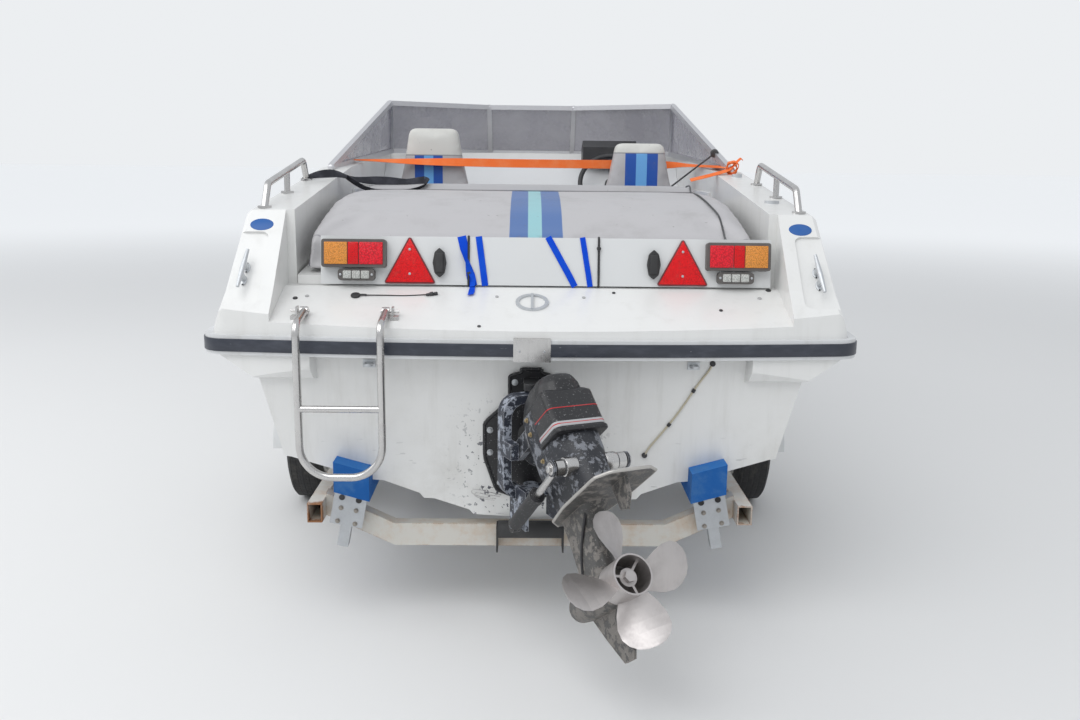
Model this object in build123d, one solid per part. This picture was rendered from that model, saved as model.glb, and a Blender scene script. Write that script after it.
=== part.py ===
from build123d import *
import os
from math import asin, atan2, cos, degrees, hypot, pi, radians, sin, tan

# A sterndrive speedboat on its single-axle trailer, in millimetres.
# +X is starboard, +Y is forward and +Z is up. The model is drawn with Y = 0 at the aft edge of the
# rub rail and Z = 0 on the ground, and it is moved along Y at the end, so that the origin lies
# below the middle of the whole outline.

# Sheer line, where the hull and the deck meet. One row is one station along the boat.
# Columns: station y, half beam, height of the sheer
SHEER = [
    (0, 1058, 970),
    (150, 1058, 970),
    (360, 1060, 982),
    (1500, 1061, 1060),
    (2800, 1042, 1160),
    (3600, 962, 1215),
    (4300, 802, 1265),
    (4900, 545, 1305),
    (5250, 305, 1335),
    (5480, 60, 1355),
]

# Hull sections at the same stations.
# Columns: half width at the knuckle, its height, half width at the chine, its height, keel height
HULL_SECTIONS = [
    (900, 865, 833, 588, 365),
    (900, 865, 834, 589, 365),
    (901, 868, 836, 591, 365),
    (905, 890, 845, 605, 365),
    (890, 945, 815, 655, 365),
    (800, 1000, 700, 735, 375),
    (640, 1065, 520, 840, 425),
    (410, 1145, 300, 965, 560),
    (210, 1215, 140, 1085, 780),
    (40, 1290, 28, 1215, 1120),
]

# Bottom of the hull between keel and chine, with its pad, two lifting strakes and the chine flat.
# Columns: share of the chine's half width, share of the rise from keel to chine
BOTTOM_PROFILE = [
    (0.000, 0.000),
    (0.235, 0.054),
    (0.252, 0.130),
    (0.396, 0.314),
    (0.438, 0.320),
    (0.456, 0.404),
    (0.600, 0.605),
    (0.667, 0.628),
    (0.972, 0.985),
    (1.000, 1.000),
]

# Deck sections at the same stations.
# Columns: half width at the shoulder, height of the shoulder, height of the crown on the centreline
DECK_SECTIONS = [
    (1036, 1010, 1021),
    (1014, 1160, 1170),
    (990, 1400, 1412),
    (972, 1535, 1550),
    (905, 1610, 1618),
    (795, 1592, 1632),
    (610, 1560, 1606),
    (375, 1520, 1558),
    (190, 1490, 1514),
    (40, 1470, 1478),
]
SHOULDER_BEVEL = 16
DECK_LIP = 34

# Stern of the hull and the deck
TRANSOM_TOP_Y = 80
TRANSOM_FOOT_Y = 141
TRANSOM_TOP_Z = 957
TRANSOM_FOOT_Z = 365
TRANSOM_WALL = 75
STERN_BOW_DEPTH = 65
STERN_CORNER_RADIUS = 62
LEDGE_HALF_WIDTH = 855
LEDGE_AFT_Z = 1028
LEDGE_FRONT_Y = 300
LEDGE_FRONT_Z = 1145
RECESS_FRONT_Y = 360

# Engine bay and cockpit
WELL_HALF_WIDTH = 825
BAY_AFT_Y = 334
BAY_FLOOR_Z = 610
BULKHEAD_Y = 1480
BULKHEAD_WALL = 40
BULKHEAD_TOP_Z = 1330
COCKPIT_FRONT_Y = 2850
COCKPIT_SUMP_Z = 780
SOLE_THICKNESS = 18
LINING_THICKNESS = 12
LINING_TOP_Z = 1440
FIT = 1
HATCH_REST = 40
ENGINE_WIDTH = 560
ENGINE_LENGTH = 680
ENGINE_HEIGHT = 480
ENGINE_Y = BAY_AFT_Y + HATCH_REST + 16

# Rub rail round the sheer
RAIL_DEPTH = 25
RAIL_HEIGHT = 64
RAIL_DROP = 22
RAIL_SLEEVE_WIDTH = 120
RAIL_SLEEVE_WALL = 5

# Hatch over the engine bay, with its pad and bolster
HATCH_SIDE_GAP = 7
HATCH_END_GAP = 6
HATCH_HINGE_SPACE = 55
HATCH_SKIN = 25
HATCH_SKIRT = 32
HATCH_HALF_WIDTH = WELL_HALF_WIDTH - HATCH_SIDE_GAP
HATCH_AFT_Y = BAY_AFT_Y + HATCH_END_GAP
HATCH_FRONT_Y = BULKHEAD_Y - HATCH_HINGE_SPACE
HATCH_AFT_Z = LEDGE_FRONT_Z + HATCH_SKIRT + FIT
HATCH_FRONT_Z = 1300
PAD_INSET = 7
PAD_HALF_WIDTH = HATCH_HALF_WIDTH - PAD_INSET
PAD_AFT_Y = HATCH_AFT_Y + 12
PAD_FRONT_Y = HATCH_FRONT_Y - 10
BOLSTER_HALF_WIDTH = 715
BOLSTER_LENGTH = 190
BOLSTER_HEIGHT = 30

# Domed top of the sunbed pad. Columns: share of the pad's length from aft, height above the hatch
PAD_TOP = [
    (0.000, 124),
    (0.038, 156),
    (0.200, 178),
    (0.420, 196),
    (0.660, 188),
    (1.000, 135),
]

# Two hinges at the front of the hatch. Their pins lie just ahead of the lid
HINGE_XS = (-480, 480)
HINGE_BARREL = 8
HATCH_PIN_RADIUS = 4
HATCH_PIN_Y = HATCH_FRONT_Y + HINGE_BARREL + 3
HATCH_PIN_Z = HATCH_FRONT_Z - 12
KNUCKLE_LENGTH = 30
KNUCKLE_GAP = 0.5
RUNNING_GAP = 0.08

DASH_DEPTH = 330
DASH_TOP_Z = 1570
DASH_FACE_Z = 1430
DASH_PANEL = 26

# Light board behind the pad
LIGHT_BOARD_X = 49
LIGHT_BOARD_END_GAP = 26
LIGHT_BOARD_WIDTH = 2 * (LEDGE_HALF_WIDTH - LIGHT_BOARD_X - LIGHT_BOARD_END_GAP)
LIGHT_BOARD_HEIGHT = 166
LIGHT_BOARD_THICKNESS = 9
LIGHT_BOARD_FOOT_Y = 303
LIGHT_BOARD_GAP = 7
LIGHT_BOARD_LEAN = 8
BOARD_HOOK_X = 300
BOARD_HOOK_WIDTH = 36
BOARD_HOOK_Z = (1157, 1173)
REAR_LAMP_END = 9
REAR_LAMP_SIZE = (220, 96)
REAR_LAMP_X = LIGHT_BOARD_WIDTH / 2 - REAR_LAMP_SIZE[0] / 2 - REAR_LAMP_END
REAR_LAMP_Z = 105
REAR_LAMP_DEPTH = 38
REAR_LAMP_CORNER = 9
NUMBER_LAMP_SIZE = (125, 40)
NUMBER_LAMP_X = LIGHT_BOARD_WIDTH / 2 - 127
NUMBER_LAMP_Z = 32
NUMBER_LAMP_DEPTH = 32
NUMBER_LAMP_CORNER = 12
TRIANGLE_TO_LAMP = 79
TRIANGLE_X = REAR_LAMP_X - REAR_LAMP_SIZE[0] / 2 - TRIANGLE_TO_LAMP
TRIANGLE_FOOT = 3
TRIANGLE_SIDE = 182
TRIANGLE_HEIGHT = 166
TRIANGLE_DEPTH = 8
TRIANGLE_CORNER = 7

# Back-to-back seats. Columns: side, gap to the well's side, height of the top, width of the top
SEATS = [
    (-1, 136.5, 1755, 250),
    (1, 85.5, 1694, 250),
]
SEAT_WIDTH = 405
SEAT_BASE_LENGTH = 800
SEAT_OVERHANG = 10
SEAT_GAP = 30
SEAT_Y = BULKHEAD_Y + BULKHEAD_WALL + SEAT_GAP + SEAT_OVERHANG + SEAT_BASE_LENGTH / 2
SEAT_BASE_TOP_Z = 1080
SEAT_CUSHION_THICKNESS = 100
SEAT_BACK_THICKNESS = 130
SEAT_BACK_GAP = 12
SEAT_BASE_INSET = 25
SEAT_SHOULDER = 0.52
SEAT_TOP_CORNER = 45

# Helm
HELM_TO_SIDE = 385
HELM_X = WELL_HALF_WIDTH - HELM_TO_SIDE
HELM_Y = 2440
HELM_Z = 1455
HELM_LEAN = 28
HELM_GAP = 5
HELM_COLUMN_LENGTH = 160
HELM_COLUMN_RADIUS = 26
HELM_POD_Y = 2560
HELM_POD_LENGTH = 200
HELM_POD_HEIGHT = 120
HELM_POD_AFT_HEIGHT = 84
HELM_POD_FRONT_HEIGHT = 72
HELM_POD_BROW = 60
HELM_POD_WIDTH = 300
WHEEL_RADIUS = 170
WHEEL_RIM_RADIUS = 13
WHEEL_HUB_RADIUS = 34
WHEEL_HUB_LENGTH = 26
WHEEL_SPOKE = (24, 6)
WHEEL_SPOKE_ANGLES = (90, 210, 330)

# Windscreen. The corners are (x, y) at the foot of the frame
SCREEN_POST = (248, 3100)
SCREEN_CORNER = (806, 2750)
SCREEN_FOOT = (898, 1420)
SCREEN_BASE_Z = 1622
SCREEN_TOP_Z = 1880
SCREEN_RAKE = 190
SCREEN_LEAN_IN = 26
SCREEN_BAR = 26
SCREEN_GLASS = 5

# Fittings
TUBE_RADIUS = 12.5
HANDLE_X = 940
HANDLE_AFT_Y = 405
HANDLE_FRONT_Y = 1095
HANDLE_SLANT = 55
HANDLE_HEIGHT = 82
HANDLE_BEND = 38
CLEAT_XS = (952, 964)
CLEAT_ZS = (1256, 1144)
CLEAT_HEIGHT = 30
CLEAT_RADIUS = 9
CLEAT_FOOT = 12
CLEAT_LENGTH = 150
BOW_CLEAT_Y = 5080
CLEAT_RECESS_X = 900
CLEAT_RECESS_ZS = (1106, 1330)
CLEAT_RECESS_DEPTH = 9
CLEAT_RECESS_CORNER = 26
CLEAT_RECESS_OPEN = 60
LADDER_XS = (-747, -480)
LADDER_PIVOT_Y = 105
LADDER_PIVOT_Z = 1087
LADDER_KNEE_Z = 1060
LADDER_HANG_Y = -34
LADDER_FOOT_Z = 562
LADDER_RUNG_Z = 790
LADDER_BEND = 105
LADDER_KNEE_BEND = 40
BRACKET_FOOT_X = (16, 42)
BRACKET_EAR_X = (20, 26)
BRACKET_BOLT_X = (17, 44)
BRACKET_BOLT = 5
RING_Y = 200
RING_RADIUS = 56
RING_WALL = 12
RING_HEIGHT = 12
RING_LEVER = (9, 14)
TRANSOM_EYE_X = 535
TRANSOM_EYE_Z = 918
TRANSOM_EYE_HOLE = 10
TRANSOM_EYE_RING = 16
TRANSOM_EYE_THICKNESS = 8
TRANSOM_EYE_PLATE = (40, 26)
BOW_EYE_Z = 930
BOW_EYE_HOLE = 13
BOW_EYE_RING = 26
BOW_EYE_THICKNESS = 16
BOW_EYE_PLATE = (34, 96)

# Deck caps. Columns: x, y, radius, height above the deck
DECK_CAPS = [
    (894, 620, 27, 5),
    (905, 1330, 22, 10),
]

# Stern drive, as stored: steered to starboard and tilted up
DRIVE_STEER = 24
DRIVE_TILT = 38
HINGE_BACK = 80
HINGE_Z = 680
HINGE_PIN = 10
SWIVEL_TOP_Z = 852
SWIVEL_FOOT_Z = 498
SWIVEL_GAP = 6
SWIVEL_LUG = 22
SWIVEL_PIN = 9
SHIELD_THICKNESS = 12
GIMBAL_WIDTH = 230
GIMBAL_WALL = 28
GIMBAL_DEPTH = 48
GIMBAL_FRONT = 6
BELLOWS_RADIUS = 44
BELLOWS_FOLDS = 3
NECK_RADIUS = 48

# Starboard half of the shield on the transom, as (x, z) points from the top down
SHIELD_OUTLINE = [
    (33, 908),
    (33, 894),
    (72, 882),
    (72, 795),
    (160, 716),
    (160, 590),
    (120, 470),
    (60, 448),
]

# Trim cylinders. Pivots are (y, z) on the ring and (aft, up) from the hinge on the drive
RAM_X = 100
RAM_EAR_X = (60, 72)
RAM_FRONT = (-100, 440)
RAM_AFT = (285, -172)
RAM_RADIUS = 22.5
RAM_PIN = 9
RAM_AFT_PIN = 8
RAM_BARREL_END = 228
RAM_BORE_START = 17
RAM_ROD_START = 175
RAM_ROD_RADIUS = 11
RAM_EYE_RADIUS = 24
RAM_EYE_BORE = 17
RAM_EYE_WIDTH = 24

# Smooth pods that carry the corners of the transom up to the rail, as (y, z) points
POD_INNER_X = 690
POD_OUTLINE = [(38, 948), (44, 902), (62, 872), (96, 862), (150, 862), (150, 948)]
POD_SLOPE = 46

# Plan sections of the leg. Columns: height, distance aft of the hinge, width, length
DRIVE_UPPER = [
    (-250, 200, 108, 270),
    (-120, 176, 150, 272),
    (0, 160, 168, 250),
    (60, 152, 165, 238),
]
DRIVE_COVER = [
    (61, 156, 166, 236),
    (104, 172, 146, 198),
    (132, 184, 112, 154),
    (145, 178, 70, 112),
]
DRIVE_LOWER = [
    (-251, 190, 100, 250),
    (-300, 166, 84, 200),
    (-335, 152, 70, 176),
    (-500, 150, 56, 170),
]

# Gearcase. Columns: distance aft of the hinge, radius about the shaft
SHAFT_DROP = -520
GEARCASE = [
    (-72, 0),
    (-58, 24),
    (-20, 42),
    (60, 54),
    (170, 58),
    (243, 56),
]
SKEG_THICKNESS = 10
SKEG_OUTLINE = [(30, -555), (228, -560), (240, -700), (224, -722), (168, -722), (96, -640)]
PLATE_DROP = -272
PLATE_THICKNESS = 8
PLATE_OUTLINE = [(55, 40), (110, 78), (240, 96), (470, 96), (505, 60)]
TAB_OUTLINE = [(385, -276), (470, -276), (462, -330), (428, -362), (396, -352)]

# Propeller. Columns of the blade: radius, chord, thickness, rake aft
PROP_BLADES = 4
PROP_PHASE = 5
PROP_PITCH = 530
PROP_GAP = 5
HUB_RADIUS = 58
HUB_WALL = 5
HUB_LENGTH = 104
HUB_CORE = 26
HUB_RECESS = 32
PROP_NUT_RADIUS = 17
BLADE_SECTIONS = [
    (50, 98, 11, 0),
    (85, 126, 9, 3),
    (120, 144, 7, 7),
    (150, 142, 5.5, 11),
    (172, 118, 4.5, 15),
    (187, 80, 3.5, 18),
    (194, 40, 2.8, 20),
]

# Trailer frame
FRAME_HALF = 730
FRAME_Z = 400
FRAME_WIDTH = 50
FRAME_HEIGHT = 67
FRAME_WALL = 4
FRAME_AFT_Y = 75
FRAME_FRONT_Y = 3700
CROSS_YS = (150, 1290, 3000)
CROSS_DEPTH = 50
CROSS_HEIGHT = 80
CROSS_Z = 298
CROSS_FLAT_HALF = 470
DRAWBAR_WIDTH = 70
DRAWBAR_HEIGHT = 80
DRAWBAR_Z = 305
DRAWBAR_FRONT_Y = 6780
A_FRAME_FRONT_Y = 5250

# Supports under the hull
BUNK_X = 598
BUNK_WIDTH = 118
BUNK_THICKNESS = 52
BUNK_CLEARANCE = 0.3
BUNK_YS = (45, 1500, 2600)
BUNK_BRACKET_X = 618
BUNK_LEAN = 11
BUNK_POST = 38
BUNK_POST_FOOT_Z = 265
BUNK_PIVOT_Z = 414
BUNK_PLATE = 8
BUNK_PLATE_WIDTH = 112
BUNK_PLATE_HEIGHT = 140
KEEL_ROLLER_RADIUS = 30
KEEL_ROLLER_LENGTH = 220

# Axle and wheels
AXLE_Y = 1450
AXLE_BEAM = 50
AXLE_SADDLE = 22
TRAILING_ARM = 120
ARM_X = 870
STUB_RADIUS = 17
WHEEL_X = 1020
TYRE_RADIUS = 285
RIM_HOLES = 8
RIM_HOLE_CIRCLE = 112
RIM_HOLE_RADIUS = 11

# Half sections of a wheel. Columns: distance outboard of the middle plane, radius
RIM_PROFILE = [
    (-66, 176),
    (-66, 160),
    (-40, 150),
    (4, 148),
    (14, 96),
    (20, 56),
    (46, 40),
    (62, 36),
    (62, 0),
    (54, 0),
    (54, 17.5),
    (-70, 17.5),
    (-70, 44),
    (-12, 52),
    (6, 92),
    (-4, 138),
    (-40, 142),
    (66, 142),
    (66, 176),
    (62, 176),
    (62, 165),
    (-62, 165),
    (-62, 176),
]
TYRE_PROFILE = [
    (-60, 165.2),
    (60, 165.2),
    (60, 178),
    (77.5, 215),
    (77.5, 238),
    (66, 270),
    (56, 281),
    (0, 285),
    (-56, 281),
    (-66, 270),
    (-77.5, 238),
    (-77.5, 215),
    (-60, 178),
]

# Mudguards
GUARD_RADIUS = 336
GUARD_WALL = 5
GUARD_SKIRT = 30
GUARD_START = 6
GUARD_END = 174
GUARD_INNER_X = 925
GUARD_OUTER_X = 1130

# Winch post, snubber and winch, as (y, z) places
POST_FOOT = (5880, 350)
POST_TOP = (5620, 1060)
POST_SIZE = 60
POST_ARM = (50, 40)
POST_BRACE = 40
POST_BRACE_FOOT = 380
POST_BRACE_TOP = (150, 330)
POST_BASE = (110, 140, 6)
SNUBBER_Z = 1010
SNUBBER_RADIUS = 35
SNUBBER_LENGTH = 130
WINCH_Y = 5640
WINCH_Z = 830
WINCH_DRUM_RADIUS = 38
WINCH_DRUM_LENGTH = 74
WINCH_PLATE = 5
WINCH_PLATE_SIZE = (125, 100)
WINCH_SHAFT_RADIUS = 9
CRANK_X = 92
CRANK_REACH = (60, 190)
CRANK_BAR = (8, 22)
CRANK_GRIP = 106
CRANK_GRIP_RADIUS = 13

# Coupling head and its ball socket
BALL_Y = 6880
BALL_RADIUS = 25.25
BALL_DEPTH = 36
BALL_MOUTH_Z = 300
COUPLING_RADIUS = 41
COUPLING_HEIGHT = 62
COUPLING_BODY = 84
COUPLING_NECK = 68
COUPLING_LEVER = (34, 9)

# Jockey wheel
JOCKEY_X = 98
JOCKEY_Y = 6330
JOCKEY_TRAIL = 30
JOCKEY_TUBE_RADIUS = 25
JOCKEY_TUBE_FOOT_Z = 296
JOCKEY_TUBE_TOP_Z = 700
JOCKEY_CRANK_RISE = 26
JOCKEY_CRANK_REACH = 90
JOCKEY_CRANK_BAR = (18, 8)
JOCKEY_KNOB_INSET = 6
JOCKEY_KNOB_RADIUS = 10
JOCKEY_KNOB_LENGTH = 84
JOCKEY_STEM_RADIUS = 20
JOCKEY_STEM_FOOT_Z = 221
JOCKEY_STEM_TOP_Z = 610
JOCKEY_PIN = 10
JOCKEY_FORK_HALF = 40
JOCKEY_FORK_WALL = 6
JOCKEY_WHEEL_RADIUS = 100
JOCKEY_WHEEL_WIDTH = 56
JOCKEY_AXLE = 8


def face_at_station(points, station):
    """Closes a section, given as (x, z) points, at one station along the boat."""
    return make_face(Polyline([(x, station, z) for x, z in points], close=True))


def both_sides(points):
    """Adds the port half to the starboard half of a section that starts and ends on the centreline."""
    port = [(-x, z) for x, z in reversed(points) if x > 0]
    return points + port


def loft_stations(sections, stations):
    """Joins sections by straight panels, from the first station to the last."""
    faces = [face_at_station(points, station) for points, station in zip(sections, stations)]
    return loft(faces, ruled=True)


def box_between(low, high):
    """A block from its lowest corner to its highest corner."""
    size = [b - a for a, b in zip(low, high)]
    middle = [(a + b) / 2 for a, b in zip(low, high)]
    return Pos(*middle) * Box(*size)


def side_profile(points, x_low, x_high):
    """Extrudes a (y, z) outline across the boat."""
    outline = make_face(Polyline([(x_low, y, z) for y, z in points], close=True))
    return extrude(outline, amount=x_high - x_low, dir=(1, 0, 0))


def end_profile(points, y_low, y_high):
    """Extrudes an (x, z) outline along the boat."""
    outline = make_face(Polyline([(x, y_low, z) for x, z in points], close=True))
    return extrude(outline, amount=y_high - y_low, dir=(0, 1, 0))


def plan_profile(points, z_low, z_high):
    """Extrudes an (x, y) outline upwards."""
    outline = make_face(Polyline([(x, y, z_low) for x, y in points], close=True))
    return extrude(outline, amount=z_high - z_low, dir=(0, 0, 1))


def bar(start, end, width, height):
    """A straight bar of rectangular section, its width level where it can be."""
    run = Vector(*end) - Vector(*start)
    level = run.cross(Vector(0, 0, 1))
    if level.length < 1e-6 * run.length:
        level = Vector(1, 0, 0)
    return extrude(Plane(origin=start, x_dir=level, z_dir=run) * Rectangle(width, height), amount=run.length)


def rod(start, end, radius):
    """A straight round bar."""
    run = Vector(*end) - Vector(*start)
    return extrude(Plane(origin=start, z_dir=run) * Circle(radius), amount=run.length)


def bent_tube(points, radius, bends):
    """A round tube along straight runs and bends."""
    path = FilletPolyline(*points, radius=bends)
    return sweep(Plane(origin=path @ 0, z_dir=path % 0) * Circle(radius), path=path)


def mirrored(shape):
    """The same piece on the other side of the boat."""
    return mirror(shape, about=Plane.YZ)


def pair(shape):
    """A piece and its mirror image."""
    return [shape, mirrored(shape)]


STATIONS = [row[0] for row in SHEER]
OUTSIDE = 1300
ABOVE = 2000


# Hull
def hull_section(sheer, section):
    _, beam, sheer_z = sheer
    knuckle, knuckle_z, chine, chine_z, keel_z = section
    bottom = [(across * chine, keel_z + rise * (chine_z - keel_z)) for across, rise in BOTTOM_PROFILE]
    return both_sides(bottom + [(knuckle, knuckle_z), (beam, sheer_z)])


def transom_y(z):
    """Where the raked outer face of the transom is at one height."""
    share = (TRANSOM_TOP_Z - z) / (TRANSOM_TOP_Z - TRANSOM_FOOT_Z)
    return TRANSOM_TOP_Y + share * (TRANSOM_FOOT_Y - TRANSOM_TOP_Y)


def hull_body():
    """The whole outer shape, closed, with its square aft end."""
    return loft_stations([hull_section(*rows) for rows in zip(SHEER, HULL_SECTIONS)], STATIONS)


def make_hull():
    behind = side_profile(
        [(-200, 200), (transom_y(200), 200), (transom_y(1100), 1100), (-200, 1100)], -OUTSIDE, OUTSIDE
    )
    bay = box_between(
        (-WELL_HALF_WIDTH + HATCH_REST, TRANSOM_FOOT_Y + TRANSOM_WALL, BAY_FLOOR_Z),
        (WELL_HALF_WIDTH - HATCH_REST, BULKHEAD_Y, ABOVE),
    )
    cockpit = box_between(
        (-WELL_HALF_WIDTH, BULKHEAD_Y + BULKHEAD_WALL, COCKPIT_SUMP_Z),
        (WELL_HALF_WIDTH, COCKPIT_FRONT_Y, ABOVE),
    )
    return hull_body() - behind - bay - cockpit - stern_waste()


def make_pods():
    """The two bulges below the rail at the corners of the transom, inside the hull's own sides."""
    outline = side_profile(POD_OUTLINE, POD_INNER_X, OUTSIDE)
    slope = plan_profile(
        [(POD_INNER_X, 0), (POD_INNER_X + POD_SLOPE, 0), (POD_INNER_X, TRANSOM_FOOT_Y)], 0, ABOVE
    )
    keep = extrude(stern_plan(RAIL_DEPTH / 2), amount=ABOVE)
    return pair(((outline - slope) & hull_body() & keep) - hull)


# Deck
def deck_section(sheer, section):
    _, beam, sheer_z = sheer
    shoulder, shoulder_z, crown_z = section
    bevel = min(SHOULDER_BEVEL, 0.3 * shoulder, 0.3 * (shoulder_z - sheer_z))
    lip = min(DECK_LIP, 0.3 * (shoulder_z - sheer_z))
    right = [
        (beam, sheer_z),
        (beam - 0.1 * lip, sheer_z + lip),
        (shoulder, shoulder_z - bevel),
        (shoulder - bevel, shoulder_z),
        (0.55 * shoulder, shoulder_z + 0.72 * (crown_z - shoulder_z)),
        (0, crown_z),
    ]
    return right + [(-x, z) for x, z in reversed(right[:-1])]


def stern_plan(inset):
    """Plan of the boat's aft end, set in from the outer face of the rub rail."""
    half = SHEER[0][1] + RAIL_DEPTH - inset
    end_y = SHEER[1][0]
    corner_y = STERN_BOW_DEPTH + inset
    edge = ThreePointArc((-half, corner_y), (0, inset), (half, corner_y))
    closing = Polyline((half, corner_y), (half, end_y), (-half, end_y), (-half, corner_y))
    plan = make_face(edge + closing)
    corners = plan.vertices().sort_by(Axis.Y)[:2]
    return fillet(corners, STERN_CORNER_RADIUS + RAIL_DEPTH - inset)


def make_rub_rail():
    low = SHEER[0][2] - RAIL_DROP
    stern = extrude(Pos(0, 0, low) * (stern_plan(0) - stern_plan(RAIL_DEPTH)), amount=RAIL_HEIGHT)
    sections = []
    for _, beam, sheer_z in SHEER[1:]:
        z = sheer_z - RAIL_DROP
        outer = beam + RAIL_DEPTH
        sections.append([(beam, z), (outer, z), (outer, z + RAIL_HEIGHT), (beam, z + RAIL_HEIGHT)])
    side = loft_stations(sections, STATIONS[1:])
    bow_y, bow_half, bow_z = SHEER[-1]
    z = bow_z - RAIL_DROP
    outer = bow_half + RAIL_DEPTH
    nose = box_between((-outer, bow_y, z), (outer, bow_y + RAIL_DEPTH, z + RAIL_HEIGHT))
    return stern + side + mirrored(side) + nose


def make_rail_sleeve():
    """The plate that covers the joint of the rail on the centreline."""
    low = SHEER[0][2] - RAIL_DROP
    half = RAIL_SLEEVE_WIDTH / 2
    wall = RAIL_SLEEVE_WALL
    outer = box_between((-half, -wall, low - wall), (half, RAIL_DEPTH - FIT, low + RAIL_HEIGHT + wall))
    return outer - box_between((-half, 0, low), (half, RAIL_DEPTH, low + RAIL_HEIGHT))


def stern_waste():
    """What is cut off the deck's square aft corners."""
    end_y = SHEER[1][0]
    keep = extrude(stern_plan(RAIL_DEPTH), amount=ABOVE)
    return box_between((-OUTSIDE, -100, 0), (OUTSIDE, end_y, ABOVE)) - keep


def make_deck():
    body = loft_stations([deck_section(*rows) for rows in zip(SHEER, DECK_SECTIONS)], STATIONS)
    ledge = side_profile(
        [
            (-100, LEDGE_AFT_Z - 40),
            (0, LEDGE_AFT_Z),
            (LEDGE_FRONT_Y, LEDGE_FRONT_Z),
            (RECESS_FRONT_Y, LEDGE_FRONT_Z),
            (RECESS_FRONT_Y, ABOVE),
            (-100, ABOVE),
        ],
        -LEDGE_HALF_WIDTH,
        LEDGE_HALF_WIDTH,
    )
    under_lid = HATCH_SKIRT + FIT
    lid_space = side_profile(
        [
            (BAY_AFT_Y, hatch_z(BAY_AFT_Y) - under_lid),
            (BULKHEAD_Y, hatch_z(BULKHEAD_Y) - under_lid),
            (BULKHEAD_Y, ABOVE),
            (BAY_AFT_Y, ABOVE),
        ],
        -WELL_HALF_WIDTH,
        WELL_HALF_WIDTH,
    )
    bay = box_between(
        (-WELL_HALF_WIDTH + HATCH_REST, BAY_AFT_Y + HATCH_REST, 0),
        (WELL_HALF_WIDTH - HATCH_REST, BULKHEAD_Y, ABOVE),
    )
    cockpit = box_between(
        (-WELL_HALF_WIDTH, BULKHEAD_Y + BULKHEAD_WALL, 0), (WELL_HALF_WIDTH, COCKPIT_FRONT_Y, ABOVE)
    )
    over_bulkhead = box_between(
        (-WELL_HALF_WIDTH, BULKHEAD_Y - 1, BULKHEAD_TOP_Z), (WELL_HALF_WIDTH, COCKPIT_FRONT_Y, ABOVE)
    )
    deck = body - stern_waste() - ledge - lid_space - bay - cockpit - over_bulkhead
    for recess in cleat_recesses():
        deck = deck - recess
    return deck


def shoulder_face_y(z):
    """Where the sloping aft face of the shoulder is at one height."""
    low_z, high_z = DECK_SECTIONS[1][1], DECK_SECTIONS[2][1]
    return STATIONS[1] + (STATIONS[2] - STATIONS[1]) * (z - low_z) / (high_z - low_z)


def shoulder_face_out():
    """Unit vector out of the sloping aft face of the shoulder, aft and up."""
    low, high = CLEAT_RECESS_ZS
    rise = Vector(0, shoulder_face_y(high) - shoulder_face_y(low), high - low).normalized()
    return Vector(0, -rise.Z, rise.Y)


def cleat_recesses():
    """Shallow recess with rounded corners round each cleat, open at the boat's side."""
    out = shoulder_face_out()
    low, high = [Vector(0, shoulder_face_y(z), z) for z in CLEAT_RECESS_ZS]
    length = (high - low).length
    width = OUTSIDE - CLEAT_RECESS_X
    middle = (low + high) * 0.5 + Vector(CLEAT_RECESS_X + width / 2, 0, 0) - out * CLEAT_RECESS_DEPTH
    face = Plane(origin=middle, x_dir=(1, 0, 0), z_dir=out)
    outline = face * RectangleRounded(width, length, CLEAT_RECESS_CORNER)
    return pair(extrude(outline, amount=CLEAT_RECESS_OPEN))


# Places on the boat's own surfaces
def along(table, column, y):
    """A value of one table column at any place along the boat."""
    for low, high, first, second in zip(STATIONS, STATIONS[1:], table, table[1:]):
        if y <= high:
            return first[column] + (second[column] - first[column]) * (y - low) / (high - low)
    return table[-1][column]


def shoulder_z(y):
    return along(DECK_SECTIONS, 1, y)


def hatch_z(y):
    """Height of the hatch's top skin."""
    share = (y - HATCH_AFT_Y) / (HATCH_FRONT_Y - HATCH_AFT_Y)
    return HATCH_AFT_Z + share * (HATCH_FRONT_Z - HATCH_AFT_Z)


def ledge_z(y):
    """Height of the sloping ledge behind the hatch."""
    return LEDGE_AFT_Z + (LEDGE_FRONT_Z - LEDGE_AFT_Z) * y / LEDGE_FRONT_Y


# Inside of the boat
def make_sole():
    half = WELL_HALF_WIDTH - FIT
    return box_between(
        (-half, BULKHEAD_Y + BULKHEAD_WALL + FIT, COCKPIT_SUMP_Z),
        (half, COCKPIT_FRONT_Y - FIT, COCKPIT_SUMP_Z + SOLE_THICKNESS),
    )


def make_linings():
    outer = WELL_HALF_WIDTH - FIT / 2
    lining = box_between(
        (outer - LINING_THICKNESS, BULKHEAD_Y + BULKHEAD_WALL + FIT, COCKPIT_SUMP_Z + SOLE_THICKNESS + FIT),
        (outer, COCKPIT_FRONT_Y - FIT - DASH_DEPTH, LINING_TOP_Z),
    )
    return pair(lining)


def make_dashboard():
    """Front bulkhead of the cockpit with the dash moulding that stands out of it."""
    half = WELL_HALF_WIDTH - FIT
    front = COCKPIT_FRONT_Y - FIT
    low = COCKPIT_SUMP_Z + SOLE_THICKNESS + FIT
    profile = [
        (front, low),
        (front, DASH_TOP_Z),
        (front - DASH_DEPTH * 0.55, DASH_TOP_Z),
        (front - DASH_DEPTH + FIT, DASH_FACE_Z),
        (front - DASH_DEPTH * 0.75, DASH_FACE_Z - 60),
        (front - DASH_PANEL, DASH_FACE_Z - 90),
        (front - DASH_PANEL, low),
    ]
    return side_profile(profile, -half, half)


def make_engine():
    half = ENGINE_WIDTH / 2
    return box_between(
        (-half, ENGINE_Y, BAY_FLOOR_Z), (half, ENGINE_Y + ENGINE_LENGTH, BAY_FLOOR_Z + ENGINE_HEIGHT)
    )


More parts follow.
